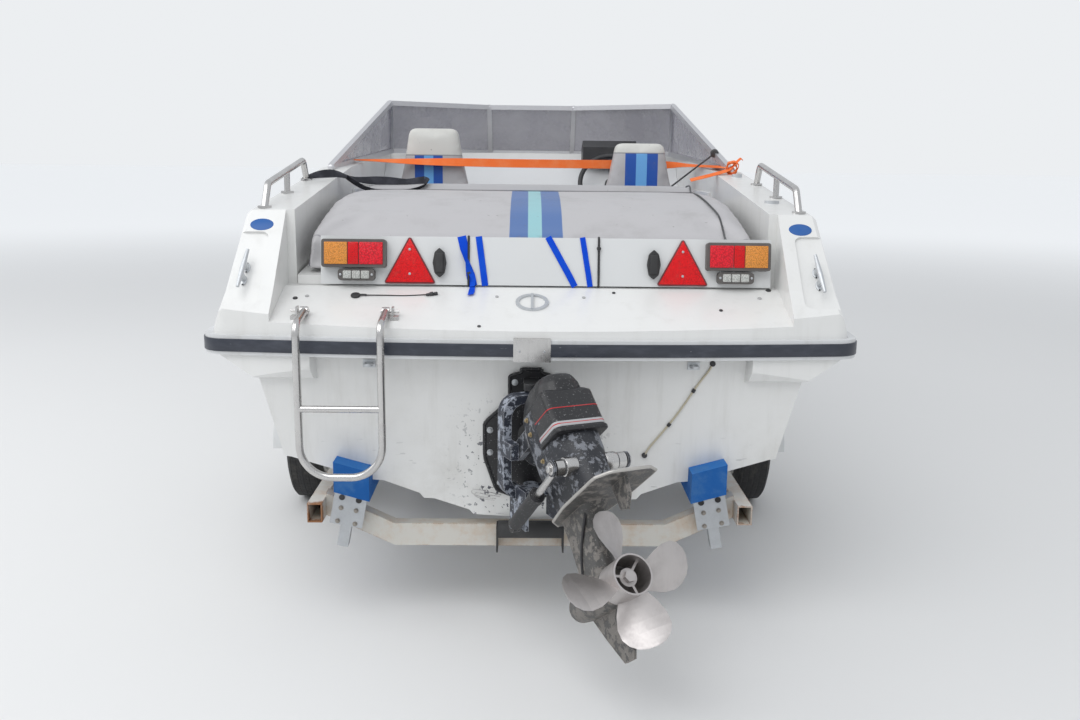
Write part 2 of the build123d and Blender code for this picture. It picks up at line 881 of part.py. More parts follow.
# Hatch, pad and bolster
def make_hatch():
    top = [(HATCH_AFT_Y, HATCH_AFT_Z), (HATCH_FRONT_Y, HATCH_FRONT_Z)]
    skirt = [(y, z - HATCH_SKIRT) for y, z in reversed(top)]
    shell = side_profile(top + skirt, -HATCH_HALF_WIDTH, HATCH_HALF_WIDTH)
    inner = [
        (HATCH_AFT_Y + HATCH_SKIN, HATCH_AFT_Z - HATCH_SKIN),
        (HATCH_FRONT_Y - HATCH_SKIN, HATCH_FRONT_Z - HATCH_SKIN),
        (HATCH_FRONT_Y - HATCH_SKIN, HATCH_FRONT_Z - 3 * HATCH_SKIRT),
        (HATCH_AFT_Y + HATCH_SKIN, HATCH_AFT_Z - 3 * HATCH_SKIRT),
    ]
    half = HATCH_HALF_WIDTH - HATCH_SKIN
    lid = shell - side_profile(inner, -half, half)
    for x in HINGE_XS:
        for side in (-1, 1):
            lid = lid + hinge_knuckle(x + side * (KNUCKLE_LENGTH + KNUCKLE_GAP), HATCH_FRONT_Y - 2)
    return lid


def hinge_knuckle(x, leaf_y):
    """One knuckle of a hatch hinge, bored for its pin, with a leaf that runs forward or aft."""
    half = KNUCKLE_LENGTH / 2
    barrel = Pos(x, HATCH_PIN_Y, HATCH_PIN_Z) * Rot(Y=90) * Cylinder(HINGE_BARREL, KNUCKLE_LENGTH)
    low_y, high_y = sorted((leaf_y, HATCH_PIN_Y))
    leaf = box_between((x - half, low_y, HATCH_PIN_Z - 4), (x + half, high_y, HATCH_PIN_Z + 4))
    bore_radius = HATCH_PIN_RADIUS + RUNNING_GAP
    bore = Pos(x, HATCH_PIN_Y, HATCH_PIN_Z) * Rot(Y=90) * Cylinder(bore_radius, 2 * KNUCKLE_LENGTH)
    return barrel + leaf - bore


def make_hatch_hinges():
    """The middle knuckle of each hinge with its pin, on a leaf from the bulkhead."""
    hinges = []
    length = 3 * KNUCKLE_LENGTH + 10
    for x in HINGE_XS:
        pin = Pos(x, HATCH_PIN_Y, HATCH_PIN_Z) * Rot(Y=90) * Cylinder(HATCH_PIN_RADIUS, length)
        hinges.append(hinge_knuckle(x, BULKHEAD_Y) + pin)
    return hinges


def make_pad():
    top = [(pad_y(share), pad_z(pad_y(share))) for share, _ in PAD_TOP]
    foot = [(PAD_FRONT_Y, hatch_z(PAD_FRONT_Y)), (PAD_AFT_Y, hatch_z(PAD_AFT_Y))]
    return side_profile(top + foot, -PAD_HALF_WIDTH, PAD_HALF_WIDTH)


def pad_y(share):
    return PAD_AFT_Y + share * (PAD_FRONT_Y - PAD_AFT_Y)


def pad_z(y):
    """Height of the pad's domed top."""
    share = (y - PAD_AFT_Y) / (PAD_FRONT_Y - PAD_AFT_Y)
    for (low, low_height), (high, high_height) in zip(PAD_TOP, PAD_TOP[1:]):
        if share <= high:
            return hatch_z(y) + low_height + (high_height - low_height) * (share - low) / (high - low)
    return hatch_z(y) + PAD_TOP[-1][1]


def make_bolster():
    back = PAD_FRONT_Y - BOLSTER_LENGTH
    profile = [
        (back, pad_z(back)),
        (back + BOLSTER_HEIGHT, pad_z(back) + BOLSTER_HEIGHT),
        (PAD_FRONT_Y - BOLSTER_HEIGHT / 2, pad_z(PAD_FRONT_Y) + BOLSTER_HEIGHT),
        (PAD_FRONT_Y, pad_z(PAD_FRONT_Y) + BOLSTER_HEIGHT / 2),
        (PAD_FRONT_Y, pad_z(PAD_FRONT_Y)),
    ]
    return side_profile(profile, -BOLSTER_HALF_WIDTH, BOLSTER_HALF_WIDTH)


# Light board that is tied on behind the pad
BOARD_FOOT = (LIGHT_BOARD_FOOT_Y, LEDGE_FRONT_Z + LIGHT_BOARD_GAP)


def on_board(shape):
    """Puts a piece drawn flat, x across and z up the board from y = 0 aft, on the leaning board."""
    return Pos(LIGHT_BOARD_X, *BOARD_FOOT) * Rot(X=-LIGHT_BOARD_LEAN) * shape


def make_light_board():
    """The board with two hooks on its back that hold it to the lid."""
    half = LIGHT_BOARD_WIDTH / 2
    board = on_board(box_between((-half, 0, 0), (half, LIGHT_BOARD_THICKNESS, LIGHT_BOARD_HEIGHT)))
    low, high = BOARD_HOOK_Z
    for side in (-1, 1):
        x = LIGHT_BOARD_X + side * BOARD_HOOK_X
        y = LIGHT_BOARD_FOOT_Y + LIGHT_BOARD_THICKNESS / 2
        hook = box_between((x - BOARD_HOOK_WIDTH / 2, y, low), (x + BOARD_HOOK_WIDTH / 2, HATCH_AFT_Y, high))
        board = board + hook
    return board


def make_rear_lamps():
    lamps = []
    for side in (-1, 1):
        x = side * REAR_LAMP_X
        low = (x - REAR_LAMP_SIZE[0] / 2, -REAR_LAMP_DEPTH, REAR_LAMP_Z - REAR_LAMP_SIZE[1] / 2)
        high = (x + REAR_LAMP_SIZE[0] / 2, 0, REAR_LAMP_Z + REAR_LAMP_SIZE[1] / 2)
        lamp = box_between(low, high)
        lamp = fillet(lamp.edges().filter_by(Axis.Y), REAR_LAMP_CORNER)
        lamps.append(on_board(lamp))
    return lamps


def make_number_lamps():
    lamps = []
    for side in (-1, 1):
        x = side * NUMBER_LAMP_X
        low = (x - NUMBER_LAMP_SIZE[0] / 2, -NUMBER_LAMP_DEPTH, NUMBER_LAMP_Z - NUMBER_LAMP_SIZE[1] / 2)
        high = (x + NUMBER_LAMP_SIZE[0] / 2, 0, NUMBER_LAMP_Z + NUMBER_LAMP_SIZE[1] / 2)
        lamp = box_between(low, high)
        lamp = fillet(lamp.edges().filter_by(Axis.Y), NUMBER_LAMP_CORNER)
        lamps.append(on_board(lamp))
    return lamps


def make_triangles():
    half = TRIANGLE_SIDE / 2
    triangles = []
    for side in (-1, 1):
        x = side * TRIANGLE_X
        peak = (x, TRIANGLE_FOOT + TRIANGLE_HEIGHT)
        corners = [(x - half, TRIANGLE_FOOT), (x + half, TRIANGLE_FOOT), peak]
        triangle = end_profile(corners, -TRIANGLE_DEPTH, 0)
        triangle = fillet(triangle.edges().filter_by(Axis.Y), TRIANGLE_CORNER)
        triangles.append(on_board(triangle))
    return triangles


# Seats
def seat_x(side, gap):
    """Where the middle of a seat is across the boat."""
    return side * (WELL_HALF_WIDTH - gap - SEAT_WIDTH / 2)


def make_seat_bases():
    bases = []
    for side, gap, _, _ in SEATS:
        x = seat_x(side, gap)
        half = SEAT_WIDTH / 2 - SEAT_BASE_INSET
        bases.append(
            box_between(
                (x - half, SEAT_Y - SEAT_BASE_LENGTH / 2, COCKPIT_SUMP_Z + SOLE_THICKNESS + FIT),
                (x + half, SEAT_Y + SEAT_BASE_LENGTH / 2, SEAT_BASE_TOP_Z),
            )
        )
    return bases


def make_seat_cushions():
    cushions = []
    for side, gap, _, _ in SEATS:
        x = seat_x(side, gap)
        half = SEAT_WIDTH / 2
        for direction in (-1, 1):
            near = SEAT_Y + direction * (SEAT_BACK_THICKNESS / 2 + SEAT_BACK_GAP)
            far = SEAT_Y + direction * (SEAT_BASE_LENGTH / 2 + SEAT_OVERHANG)
            low, high = sorted((near, far))
            cushions.append(
                box_between(
                    (x - half, low, SEAT_BASE_TOP_Z + FIT),
                    (x + half, high, SEAT_BASE_TOP_Z + SEAT_CUSHION_THICKNESS),
                )
            )
    return cushions


def make_seat_backs():
    backs = []
    for side, gap, top_z, top_width in SEATS:
        x = seat_x(side, gap)
        low_z = SEAT_BASE_TOP_Z + FIT
        half, top_half = SEAT_WIDTH / 2, top_width / 2
        shoulder = low_z + (top_z - low_z) * SEAT_SHOULDER
        outline = [
            (x - half, low_z),
            (x + half, low_z),
            (x + half, shoulder),
            (x + top_half, top_z),
            (x - top_half, top_z),
            (x - half, shoulder),
        ]
        half_depth = SEAT_BACK_THICKNESS / 2
        back = end_profile(outline, SEAT_Y - half_depth, SEAT_Y + half_depth)
        top_edges = back.edges().filter_by(Axis.Y).group_by(Axis.Z)[-1]
        backs.append(fillet(top_edges, SEAT_TOP_CORNER))
    return backs


# Helm
def make_helm_pod():
    """Instrument pod that stands on the dash ahead of the wheel."""
    profile = [
        (HELM_POD_Y, DASH_TOP_Z + FIT),
        (HELM_POD_Y, DASH_TOP_Z + HELM_POD_AFT_HEIGHT),
        (HELM_POD_Y + HELM_POD_BROW, DASH_TOP_Z + HELM_POD_HEIGHT),
        (HELM_POD_Y + HELM_POD_LENGTH, DASH_TOP_Z + HELM_POD_FRONT_HEIGHT),
        (HELM_POD_Y + HELM_POD_LENGTH, DASH_TOP_Z + FIT),
    ]
    return side_profile(profile, HELM_X - HELM_POD_WIDTH / 2, HELM_X + HELM_POD_WIDTH / 2)


def helm_plane():
    """Plane of the steering wheel: its normal runs aft and up, out of the dash face."""
    lean = radians(HELM_LEAN)
    return Plane(origin=(HELM_X, HELM_Y, HELM_Z), x_dir=(1, 0, 0), z_dir=(0, -cos(lean), sin(lean)))


def make_steering_wheel():
    plane = helm_plane()
    wheel = Torus(WHEEL_RADIUS, WHEEL_RIM_RADIUS)
    wheel = wheel + Pos(0, 0, -WHEEL_HUB_LENGTH / 2 + 1) * Cylinder(WHEEL_HUB_RADIUS, WHEEL_HUB_LENGTH)
    arm = Pos(WHEEL_RADIUS / 2, 0, -4) * Box(WHEEL_RADIUS - 4, *WHEEL_SPOKE)
    for angle in WHEEL_SPOKE_ANGLES:
        wheel = wheel + Rot(Z=angle) * arm
    return plane * wheel


def make_helm_column():
    """Fixed column between the dash face and the back of the wheel's hub."""
    plane = helm_plane()
    middle = 1 - WHEEL_HUB_LENGTH - HELM_GAP - HELM_COLUMN_LENGTH / 2
    column = Pos(0, 0, middle) * Cylinder(HELM_COLUMN_RADIUS, HELM_COLUMN_LENGTH)
    return plane * column - dashboard


# Windscreen
def windscreen_corners():
    """Named corners of the starboard half, with the top edge parallel to the foot."""
    post_x, post_y = SCREEN_POST
    corner_x, corner_y = SCREEN_CORNER
    foot_x, foot_y = SCREEN_FOOT
    base = {
        "post": Vector(post_x, post_y, SCREEN_BASE_Z),
        "corner": Vector(corner_x, corner_y, SCREEN_BASE_Z),
        "foot": Vector(foot_x, foot_y, shoulder_z(foot_y) + SCREEN_BAR / 2),
    }
    rise = Vector(0, -SCREEN_RAKE, SCREEN_TOP_Z - SCREEN_BASE_Z)
    inward = (base["post"] - base["corner"]).normalized() * SCREEN_LEAN_IN
    top = {
        "post": base["post"] + rise,
        "corner": base["corner"] + rise + inward,
    }
    return base, top


def make_windscreen_frame():
    base, top = windscreen_corners()
    lines = [
        (base["post"], base["corner"]),
        (base["corner"], base["foot"]),
        (top["post"], top["corner"]),
        (top["corner"], base["foot"]),
        (base["post"], top["post"]),
        (base["corner"], top["corner"]),
    ]
    frame = None
    for start, end in lines:
        for side in (1, -1):
            a = (start.X * side, start.Y, start.Z)
            b = (end.X * side, end.Y, end.Z)
            piece = bar(a, b, SCREEN_BAR, SCREEN_BAR)
            frame = piece if frame is None else frame + piece
    for corner in list(base.values()) + list(top.values()):
        for side in (1, -1):
            frame = frame + Pos(corner.X * side, corner.Y, corner.Z) * Sphere(SCREEN_BAR * 0.62)
    for row in (base, top):
        post = row["post"]
        frame = frame + bar((-post.X, post.Y, post.Z), (post.X, post.Y, post.Z), SCREEN_BAR, SCREEN_BAR)
    return frame - deck - dashboard


def pane(corners):
    """A flat pane of glass between three or four corners, centred on their plane."""
    outline = make_face(Polyline(corners, close=True))
    normal = outline.faces()[0].normal_at()
    slab = extrude(outline, amount=SCREEN_GLASS / 2, dir=normal, both=True)
    return slab


def make_windscreen_glass():
    base, top = windscreen_corners()
    post, corner, foot = base["post"], base["corner"], base["foot"]
    corners = [(-1, post), (1, post), (1, top["post"]), (-1, top["post"])]
    middle = [(side * place.X, place.Y, place.Z) for side, place in corners]
    panes = [pane(middle)]
    front = [post, corner, top["corner"], top["post"]]
    wing = [corner, foot, top["corner"]]
    for outline in (front, wing):
        starboard = pane([tuple(v) for v in outline])
        panes += pair(starboard)
    trimmed = []
    for slab in panes:
        trimmed += (slab - windscreen_frame - deck - dashboard).solids().sort_by(SortBy.VOLUME)[-1:]
    return trimmed


# Fittings on the deck
def make_grab_handles():
    handles = []
    for side in (-1, 1):
        x = side * HANDLE_X
        foot_a, foot_b = HANDLE_AFT_Y, HANDLE_FRONT_Y
        top_a = (x, foot_a + HANDLE_SLANT, shoulder_z(foot_a) + HANDLE_HEIGHT)
        top_b = (x, foot_b - HANDLE_SLANT, shoulder_z(foot_b) + HANDLE_HEIGHT)
        points = [(x, foot_a, shoulder_z(foot_a)), top_a, top_b, (x, foot_b, shoulder_z(foot_b))]
        handle = bent_tube(points, TUBE_RADIUS, HANDLE_BEND)
        middle = (foot_a + foot_b) / 2
        handle = handle + rod(
            (x, middle, shoulder_z(middle)), (x, middle, (top_a[2] + top_b[2]) / 2), TUBE_RADIUS * 0.9
        )
        for y in (foot_a, middle, foot_b):
            handle = handle + Pos(x, y, shoulder_z(y) + 3) * Cylinder(24, 8)
        handles.append(handle - deck)
    return handles


def make_cleats():
    """Horn cleats on the sloping aft faces of the shoulders and on the foredeck."""
    cleats = []
    out = shoulder_face_out()
    for side in (-1, 1):
        ends = [Vector(side * x, shoulder_face_y(z), z) for x, z in zip(CLEAT_XS, CLEAT_ZS)]
        cleats.append(cleat(*ends, out))
    half = CLEAT_LENGTH / 2
    deck_z = along(DECK_SECTIONS, 2, BOW_CLEAT_Y)
    ends = [Vector(0, BOW_CLEAT_Y + way * half, deck_z) for way in (-1, 1)]
    cleats.append(cleat(*ends, Vector(0, 0, 1)))
    return cleats


def cleat(a, b, out):
    """A horn cleat over two places of the deck: one long horn on two feet."""
    a, b = a + out * CLEAT_HEIGHT, b + out * CLEAT_HEIGHT
    middle = a + (b - a) * 0.5
    horn = None
    for end in (a, b):
        run = end - middle
        half = extrude(Plane(origin=middle, z_dir=run) * Circle(CLEAT_RADIUS), amount=run.length, taper=2.5)
        horn = half if horn is None else horn + half
    for share in (0.35, 0.65):
        top = a + (b - a) * share
        horn = horn + rod(tuple(top), tuple(top - out * (CLEAT_HEIGHT + CLEAT_FOOT)), CLEAT_RADIUS)
    return horn - deck


def make_ladder_brackets():
    """A bracket on the outer side of each leg, with the wing bolt that the leg turns on."""
    brackets = []
    y = LADDER_PIVOT_Y
    foot_z = ledge_z(y)
    low, high = BRACKET_FOOT_X
    for x, way in zip(LADDER_XS, (-1, 1)):
        near, far = sorted((x + way * low, x + way * high))
        base = box_between((near, y - 24, foot_z - 30), (far, y + 30, foot_z + 4))
        near, far = sorted((x + way * BRACKET_EAR_X[0], x + way * BRACKET_EAR_X[1]))
        ear = box_between((near, y - 15, foot_z), (far, y + 15, LADDER_PIVOT_Z + 15))
        start = (x - way * BRACKET_BOLT_X[0], y, LADDER_PIVOT_Z)
        end = (x + way * BRACKET_BOLT_X[1], y, LADDER_PIVOT_Z)
        brackets.append((base + ear + rod(start, end, BRACKET_BOLT)) - deck)
    return brackets


def make_ladder():
    left, right = LADDER_XS
    z = LADDER_PIVOT_Z
    y = LADDER_PIVOT_Y
    points = [
        (left, y, z),
        (left, LADDER_HANG_Y, LADDER_KNEE_Z),
        (left, LADDER_HANG_Y, LADDER_FOOT_Z),
        (right, LADDER_HANG_Y, LADDER_FOOT_Z),
        (right, LADDER_HANG_Y, LADDER_KNEE_Z),
        (right, y, z),
    ]
    frame = bent_tube(points, TUBE_RADIUS, [LADDER_KNEE_BEND, LADDER_BEND, LADDER_BEND, LADDER_KNEE_BEND])
    rung = rod((left, LADDER_HANG_Y, LADDER_RUNG_Z), (right, LADDER_HANG_Y, LADDER_RUNG_Z), TUBE_RADIUS * 0.9)
    ladder = frame + rung
    for x in LADDER_XS:
        ladder = ladder + Pos(x, y, z) * Rot(Y=90) * Cylinder(TUBE_RADIUS + 2, 24)
        ladder = ladder - rod((x - 50, y, z), (x + 50, y, z), BRACKET_BOLT + 0.3)
    return ladder


def make_deck_fittings():
    """Ring latch on the ledge, filler cap and vent on the starboard shoulder."""
    pieces = []
    for x, y, radius, height in DECK_CAPS:
        pieces.append(Pos(x, y, shoulder_z(y) + height / 2) * Cylinder(radius, height + 8) - deck)
    lean = degrees(atan2(LEDGE_FRONT_Z - LEDGE_AFT_Z, LEDGE_FRONT_Y))
    ring = Cylinder(RING_RADIUS, RING_HEIGHT) - Cylinder(RING_RADIUS - RING_WALL, 2 * RING_HEIGHT)
    ring = Pos(0, RING_Y, ledge_z(RING_Y)) * Rot(X=lean) * ring
    lever = Box(RING_LEVER[0], 2 * RING_RADIUS - 8, RING_LEVER[1])
    lever = Pos(0, RING_Y, ledge_z(RING_Y) + 3) * Rot(X=lean) * lever
    pieces.append((ring + lever) - deck)
    return pieces


def lifting_eye(place, out, turn, hole, ring, thickness, plate):
    """A ring that stands out of a face on a plate. Its upright hole is turned to run as it does."""
    origin = Vector(*place)
    centre = origin + out * (ring + 4)
    loop = Pos(*centre) * turn * Cylinder(ring, thickness)
    foot = Plane(origin=origin, x_dir=(1, 0, 0), z_dir=out) * Box(*plate, 12)
    bore = Pos(*centre) * turn * Cylinder(hole, 4 * thickness)
    return (loop + foot) - bore - hull


def make_transom_eyes():
    eyes = []
    for x in (-TRANSOM_EYE_X, TRANSOM_EYE_X):
        place = (x, transom_y(TRANSOM_EYE_Z), TRANSOM_EYE_Z)
        eyes.append(
            lifting_eye(
                place,
                Vector(0, -1, 0),
                Rot(),
                TRANSOM_EYE_HOLE,
                TRANSOM_EYE_RING,
                TRANSOM_EYE_THICKNESS,
                TRANSOM_EYE_PLATE,
            )
        )
    return eyes


def stem_y(z):
    """Where the stem is at one height, along the keel line."""
    for low, high, first, second in zip(STATIONS, STATIONS[1:], HULL_SECTIONS, HULL_SECTIONS[1:]):
        if second[4] >= z:
            return low + (high - low) * (z - first[4]) / (second[4] - first[4])
    return STATIONS[-1]


def stem_out(z):
    """Unit vector out of the stem, forward and down."""
    rise = Vector(0, stem_y(z + 20) - stem_y(z - 20), 40).normalized()
    return Vector(0, rise.Z, -rise.Y)


def make_bow_eye():
    place = (0, stem_y(BOW_EYE_Z), BOW_EYE_Z)
    out = stem_out(BOW_EYE_Z)
    return lifting_eye(
        place, out, Rot(Y=90), BOW_EYE_HOLE, BOW_EYE_RING, BOW_EYE_THICKNESS, BOW_EYE_PLATE
    )


# Stern drive. Its pieces are drawn upright: the tilt hinge is at the origin, -Y runs aft.
def steered(shape):
    """Turns a piece about the swivel pin, which stands at x = 0 and y = 0."""
    return Rot(Z=DRIVE_STEER) * shape


def on_drive(shape):
    """Tilts a piece about the hinge and turns it with the gimbal ring."""
    return steered(Pos(0, -HINGE_BACK, HINGE_Z) * Rot(X=-DRIVE_TILT) * shape)


def tilted_point(aft, up):
    """A point of the tilted drive, as (y, z) before it is steered."""
    tilt = radians(DRIVE_TILT)
    return (
        -HINGE_BACK - (aft * cos(tilt) - up * sin(tilt)),
        HINGE_Z + up * cos(tilt) + aft * sin(tilt),
    )


def make_transom_shield():
    """Plate on the transom with the two lugs that carry the swivel pin."""
    outline = SHIELD_OUTLINE + [(-x, z) for x, z in reversed(SHIELD_OUTLINE)]
    plate = end_profile(outline, -60, 200)
    z_high, z_low = 1000, 300
    band = [
        (transom_y(z_high) - SHIELD_THICKNESS, z_high),
        (transom_y(z_high), z_high),
        (transom_y(z_low), z_low),
        (transom_y(z_low) - SHIELD_THICKNESS, z_low),
    ]
    shield = plate & side_profile(band, -400, 400)
    for z, direction in ((SWIVEL_TOP_Z, 1), (SWIVEL_FOOT_Z, -1)):
        far = z + direction * SWIVEL_LUG
        low, high = sorted((z, far))
        lug = box_between((-26, 0, low), (26, transom_y(z) + 5, high))
        boss = Pos(0, 0, (low + high) / 2) * Cylinder(26, SWIVEL_LUG)
        pin = Pos(0, 0, z - direction * 9) * Cylinder(SWIVEL_PIN, 18)
        shield = shield + lug + boss + pin
    return shield - hull


def make_bellows():
    """Rubber bellows between the transom and the drive's neck."""
    back, front = -2, transom_y(HINGE_Z) - SHIELD_THICKNESS
    step = (front - back) / (2 * BELLOWS_FOLDS)
    edge = [(0, back)]
    for turn in range(2 * BELLOWS_FOLDS + 1):
        radius = BELLOWS_RADIUS if turn % 2 else BELLOWS_RADIUS - 8
        edge.append((radius, back + turn * step))
    edge.append((0, front))
    profile = make_face(Polyline([(x, y, HINGE_Z) for x, y in edge], close=True))
    axis = Axis((0, 0, HINGE_Z), (0, 1, 0))
    return revolve(profile, axis=axis) - transom_shield


def make_gimbal_ring():
    height = SWIVEL_TOP_Z - SWIVEL_FOOT_Z - 2 * SWIVEL_GAP
    middle = (SWIVEL_TOP_Z + SWIVEL_FOOT_Z) / 2
    outer = RectangleRounded(GIMBAL_WIDTH, height, 58)
    inner = RectangleRounded(GIMBAL_WIDTH - 2 * GIMBAL_WALL, height - 2 * GIMBAL_WALL, 44)
    ring = Pos(0, GIMBAL_FRONT, middle) * Rot(X=90) * extrude(outer - inner, amount=GIMBAL_DEPTH)
    half = GIMBAL_WIDTH / 2
    for side in (-1, 1):
        inside, outside = sorted((side * (half - GIMBAL_WALL), side * half))
        lug = box_between(
            (inside, -HINGE_BACK - 22, HINGE_Z - 26), (outside, GIMBAL_FRONT - 10, HINGE_Z + 26)
        )
        pin = rod((side * (half - 56), -HINGE_BACK, HINGE_Z), (side * half, -HINGE_BACK, HINGE_Z), HINGE_PIN)
        inside, outside = sorted(side * x for x in RAM_EAR_X)
        ear = box_between(
            (inside, RAM_FRONT[0] - 20, RAM_FRONT[1] - 20), (outside, GIMBAL_FRONT, RAM_FRONT[1] + 110)
        )
        stub = rod((side * RAM_EAR_X[0], *RAM_FRONT), (side * (RAM_X + 14), *RAM_FRONT), RAM_PIN)
        ring = ring + lug + pin + ear + stub
    for z in (SWIVEL_TOP_Z - SWIVEL_GAP - 16, SWIVEL_FOOT_Z + SWIVEL_GAP + 16):
        ring = ring + Pos(0, 0, z) * Cylinder(24, 32)
    ring = ring - Pos(0, 0, middle) * Cylinder(SWIVEL_PIN + 0.3, height + 80)
    return steered(ring)


def ram_frame():
    """Front pivot, direction and length of the trim cylinders at the stored tilt, as (y, z)."""
    eye = tilted_point(*RAM_AFT)
    run = (eye[0] - RAM_FRONT[0], eye[1] - RAM_FRONT[1])
    length = hypot(*run)
    return (run[0] / length, run[1] / length), length


def ram_point(distance, x):
    (dy, dz), _ = ram_frame()
    return (x, RAM_FRONT[0] + dy * distance, RAM_FRONT[1] + dz * distance)


def make_trim_cylinders():
    rams = []
    for side in (-1, 1):
        x = side * RAM_X
        barrel = rod(ram_point(12, x), ram_point(RAM_BARREL_END, x), RAM_RADIUS)
        cap = rod(ram_point(RAM_BARREL_END - 24, x), ram_point(RAM_BARREL_END, x), RAM_RADIUS + 2.5)
        eye = Pos(x, *RAM_FRONT) * Rot(Y=90) * Cylinder(RAM_RADIUS, RAM_EYE_WIDTH)
        ram = barrel + cap + eye
        ram = ram - rod(ram_point(RAM_BORE_START, x), ram_point(RAM_BARREL_END + 5, x), RAM_ROD_RADIUS + 0.3)
        ram = ram - Pos(x, *RAM_FRONT) * Rot(Y=90) * Cylinder(RAM_PIN + 0.3, 60)
        rams.append(steered(ram))
    return rams


def make_trim_rods():
    _, length = ram_frame()
    rods = []
    for side in (-1, 1):
        x = side * RAM_X
        shaft = rod(ram_point(RAM_ROD_START, x), ram_point(length - 5, x), RAM_ROD_RADIUS)
        eye_place = Pos(*ram_point(length, x)) * Rot(Y=90)
        shaft = shaft + eye_place * Cylinder(RAM_EYE_RADIUS, RAM_EYE_WIDTH)
        shaft = shaft - eye_place * Cylinder(RAM_EYE_BORE, 60)
        rods.append(steered(shaft))
    return rods


def plan_section(centre, width, length, up):
    """A rounded plan section of the leg, its centre a distance aft of the hinge."""
    corner = 0.46 * min(width, length)
    return Pos(0, -centre, up) * RectangleRounded(width, length, corner)


def loft_leg(table):
    """Joins plan sections. Columns: height, distance aft of the centre, width, length"""
    return loft([plan_section(centre, width, length, up) for up, centre, width, length in table], ruled=True)


def make_drive_upper():
    housing = loft_leg(DRIVE_UPPER)
    neck = Pos(0, -5, 0) * Rot(X=90) * Cylinder(NECK_RADIUS, 100)
    arms = None
    half = GIMBAL_WIDTH / 2 - GIMBAL_WALL
    for side in (-1, 1):
        low, high = sorted((side * (half - 24), side * (half - 4)))
        arm = box_between((low, -90, -28), (high, 22, 28))
        arms = arm if arms is None else arms + arm
    boss = Pos(0, -RAM_AFT[0], RAM_AFT[1]) * Rot(Y=90) * Cylinder(24, 2 * RAM_X - RAM_EYE_WIDTH - 4)
    pin = Pos(0, -RAM_AFT[0], RAM_AFT[1]) * Rot(Y=90) * Cylinder(RAM_AFT_PIN, 2 * RAM_X + RAM_EYE_WIDTH + 16)
    upper = housing + neck + arms + boss + pin
    for side in (-1, 1):
        x = side * (RAM_X + RAM_EYE_WIDTH / 2 + 8)
        upper = upper + Pos(x, -RAM_AFT[0], RAM_AFT[1]) * Rot(Y=90) * Cylinder(RAM_EYE_RADIUS, 8)
    upper = upper - Rot(Y=90) * Cylinder(HINGE_PIN + 0.3, GIMBAL_WIDTH)
    return on_drive(upper)


def make_drive_cover():
    return on_drive(loft_leg(DRIVE_COVER))


def make_drive_lower():
    strut = loft_leg(DRIVE_LOWER)
    nose = [(aft, radius) for aft, radius in GEARCASE]
    outline = [(0, -aft, SHAFT_DROP + radius) for aft, radius in nose]
    closing = [(0, -nose[-1][0], SHAFT_DROP)]
    profile = make_face(Polyline(outline + closing, close=True))
    gearcase = revolve(profile, axis=Axis((0, 0, SHAFT_DROP), (0, 1, 0)))
    skeg = side_profile([(-aft, up) for aft, up in SKEG_OUTLINE], -SKEG_THICKNESS / 2, SKEG_THICKNESS / 2)
    plate_half = [(across, -aft) for aft, across in PLATE_OUTLINE]
    plate_plan = plate_half + [(-x, y) for x, y in reversed(plate_half)]
    plate = plan_profile(plate_plan, PLATE_DROP - PLATE_THICKNESS, PLATE_DROP)
    tab = side_profile([(-aft, up) for aft, up in TAB_OUTLINE], -6, 6)
    return on_drive(strut + gearcase + skeg + plate + tab)


def blade_section(radius, chord, thickness, rake):
    """A lens across the blade at one radius, turned to the blade's pitch there."""
    pitch = atan2(PROP_PITCH, 2 * pi * radius)
    along_chord = Vector(0, cos(pitch), sin(pitch))
    across = Vector(0, -sin(pitch), cos(pitch))
    middle = Vector(radius, 0, rake)
    a = middle - along_chord * (chord / 2)
    b = middle + along_chord * (chord / 2)
    back = ThreePointArc(a, middle + across * (thickness / 2), b)
    face = ThreePointArc(b, middle - across * (thickness / 2), a)
    return make_face(back + face)


def make_propeller():
    """Four blades on a barrel hub, its axis along Z with the aft end up, then laid along the shaft."""
    blade = loft([blade_section(*row) for row in BLADE_SECTIONS], ruled=True)
    barrel = Cylinder(HUB_RADIUS, HUB_LENGTH) - Cylinder(HUB_RADIUS - HUB_WALL, HUB_LENGTH + 2)
    core = Pos(0, 0, -HUB_RECESS / 2) * Cylinder(HUB_CORE, HUB_LENGTH - HUB_RECESS)
    prop = barrel + core
    for angle in (45, 165, 285):
        rib = Pos((HUB_CORE + HUB_RADIUS - HUB_WALL) / 2, 0, -HUB_RECESS / 2)
        rib = Rot(Z=angle) * rib * Box(HUB_RADIUS - HUB_CORE, 7, HUB_LENGTH - HUB_RECESS)
        prop = prop + (rib & Cylinder(HUB_RADIUS - 1, HUB_LENGTH))
    hollow = Cylinder(HUB_RADIUS - 2, HUB_LENGTH + 60)
    for number in range(PROP_BLADES):
        prop = prop + (Rot(Z=PROP_PHASE + number * 360 / PROP_BLADES) * blade - hollow)
    core_end = HUB_LENGTH / 2 - HUB_RECESS
    prop = prop + Pos(0, 0, core_end - 1) * extrude(RegularPolygon(PROP_NUT_RADIUS, 6), amount=HUB_RECESS / 2)
    middle = GEARCASE[-1][0] + PROP_GAP + HUB_LENGTH / 2
    return on_drive(Pos(0, -middle, SHAFT_DROP) * Rot(X=90) * prop)


# Trailer
def make_trailer_rails():
    z = FRAME_Z
    rails = []
    for side in (-1, 1):
        x = side * FRAME_HALF
        rail = bar((x, FRAME_AFT_Y, z), (x, FRAME_FRONT_Y, z), FRAME_WIDTH, FRAME_HEIGHT)
        width, height = FRAME_WIDTH - 2 * FRAME_WALL, FRAME_HEIGHT - 2 * FRAME_WALL
        inner = bar((x, FRAME_AFT_Y - 1, z), (x, FRAME_FRONT_Y + 1, z), width, height)
        rails.append(rail - inner)
    return rails


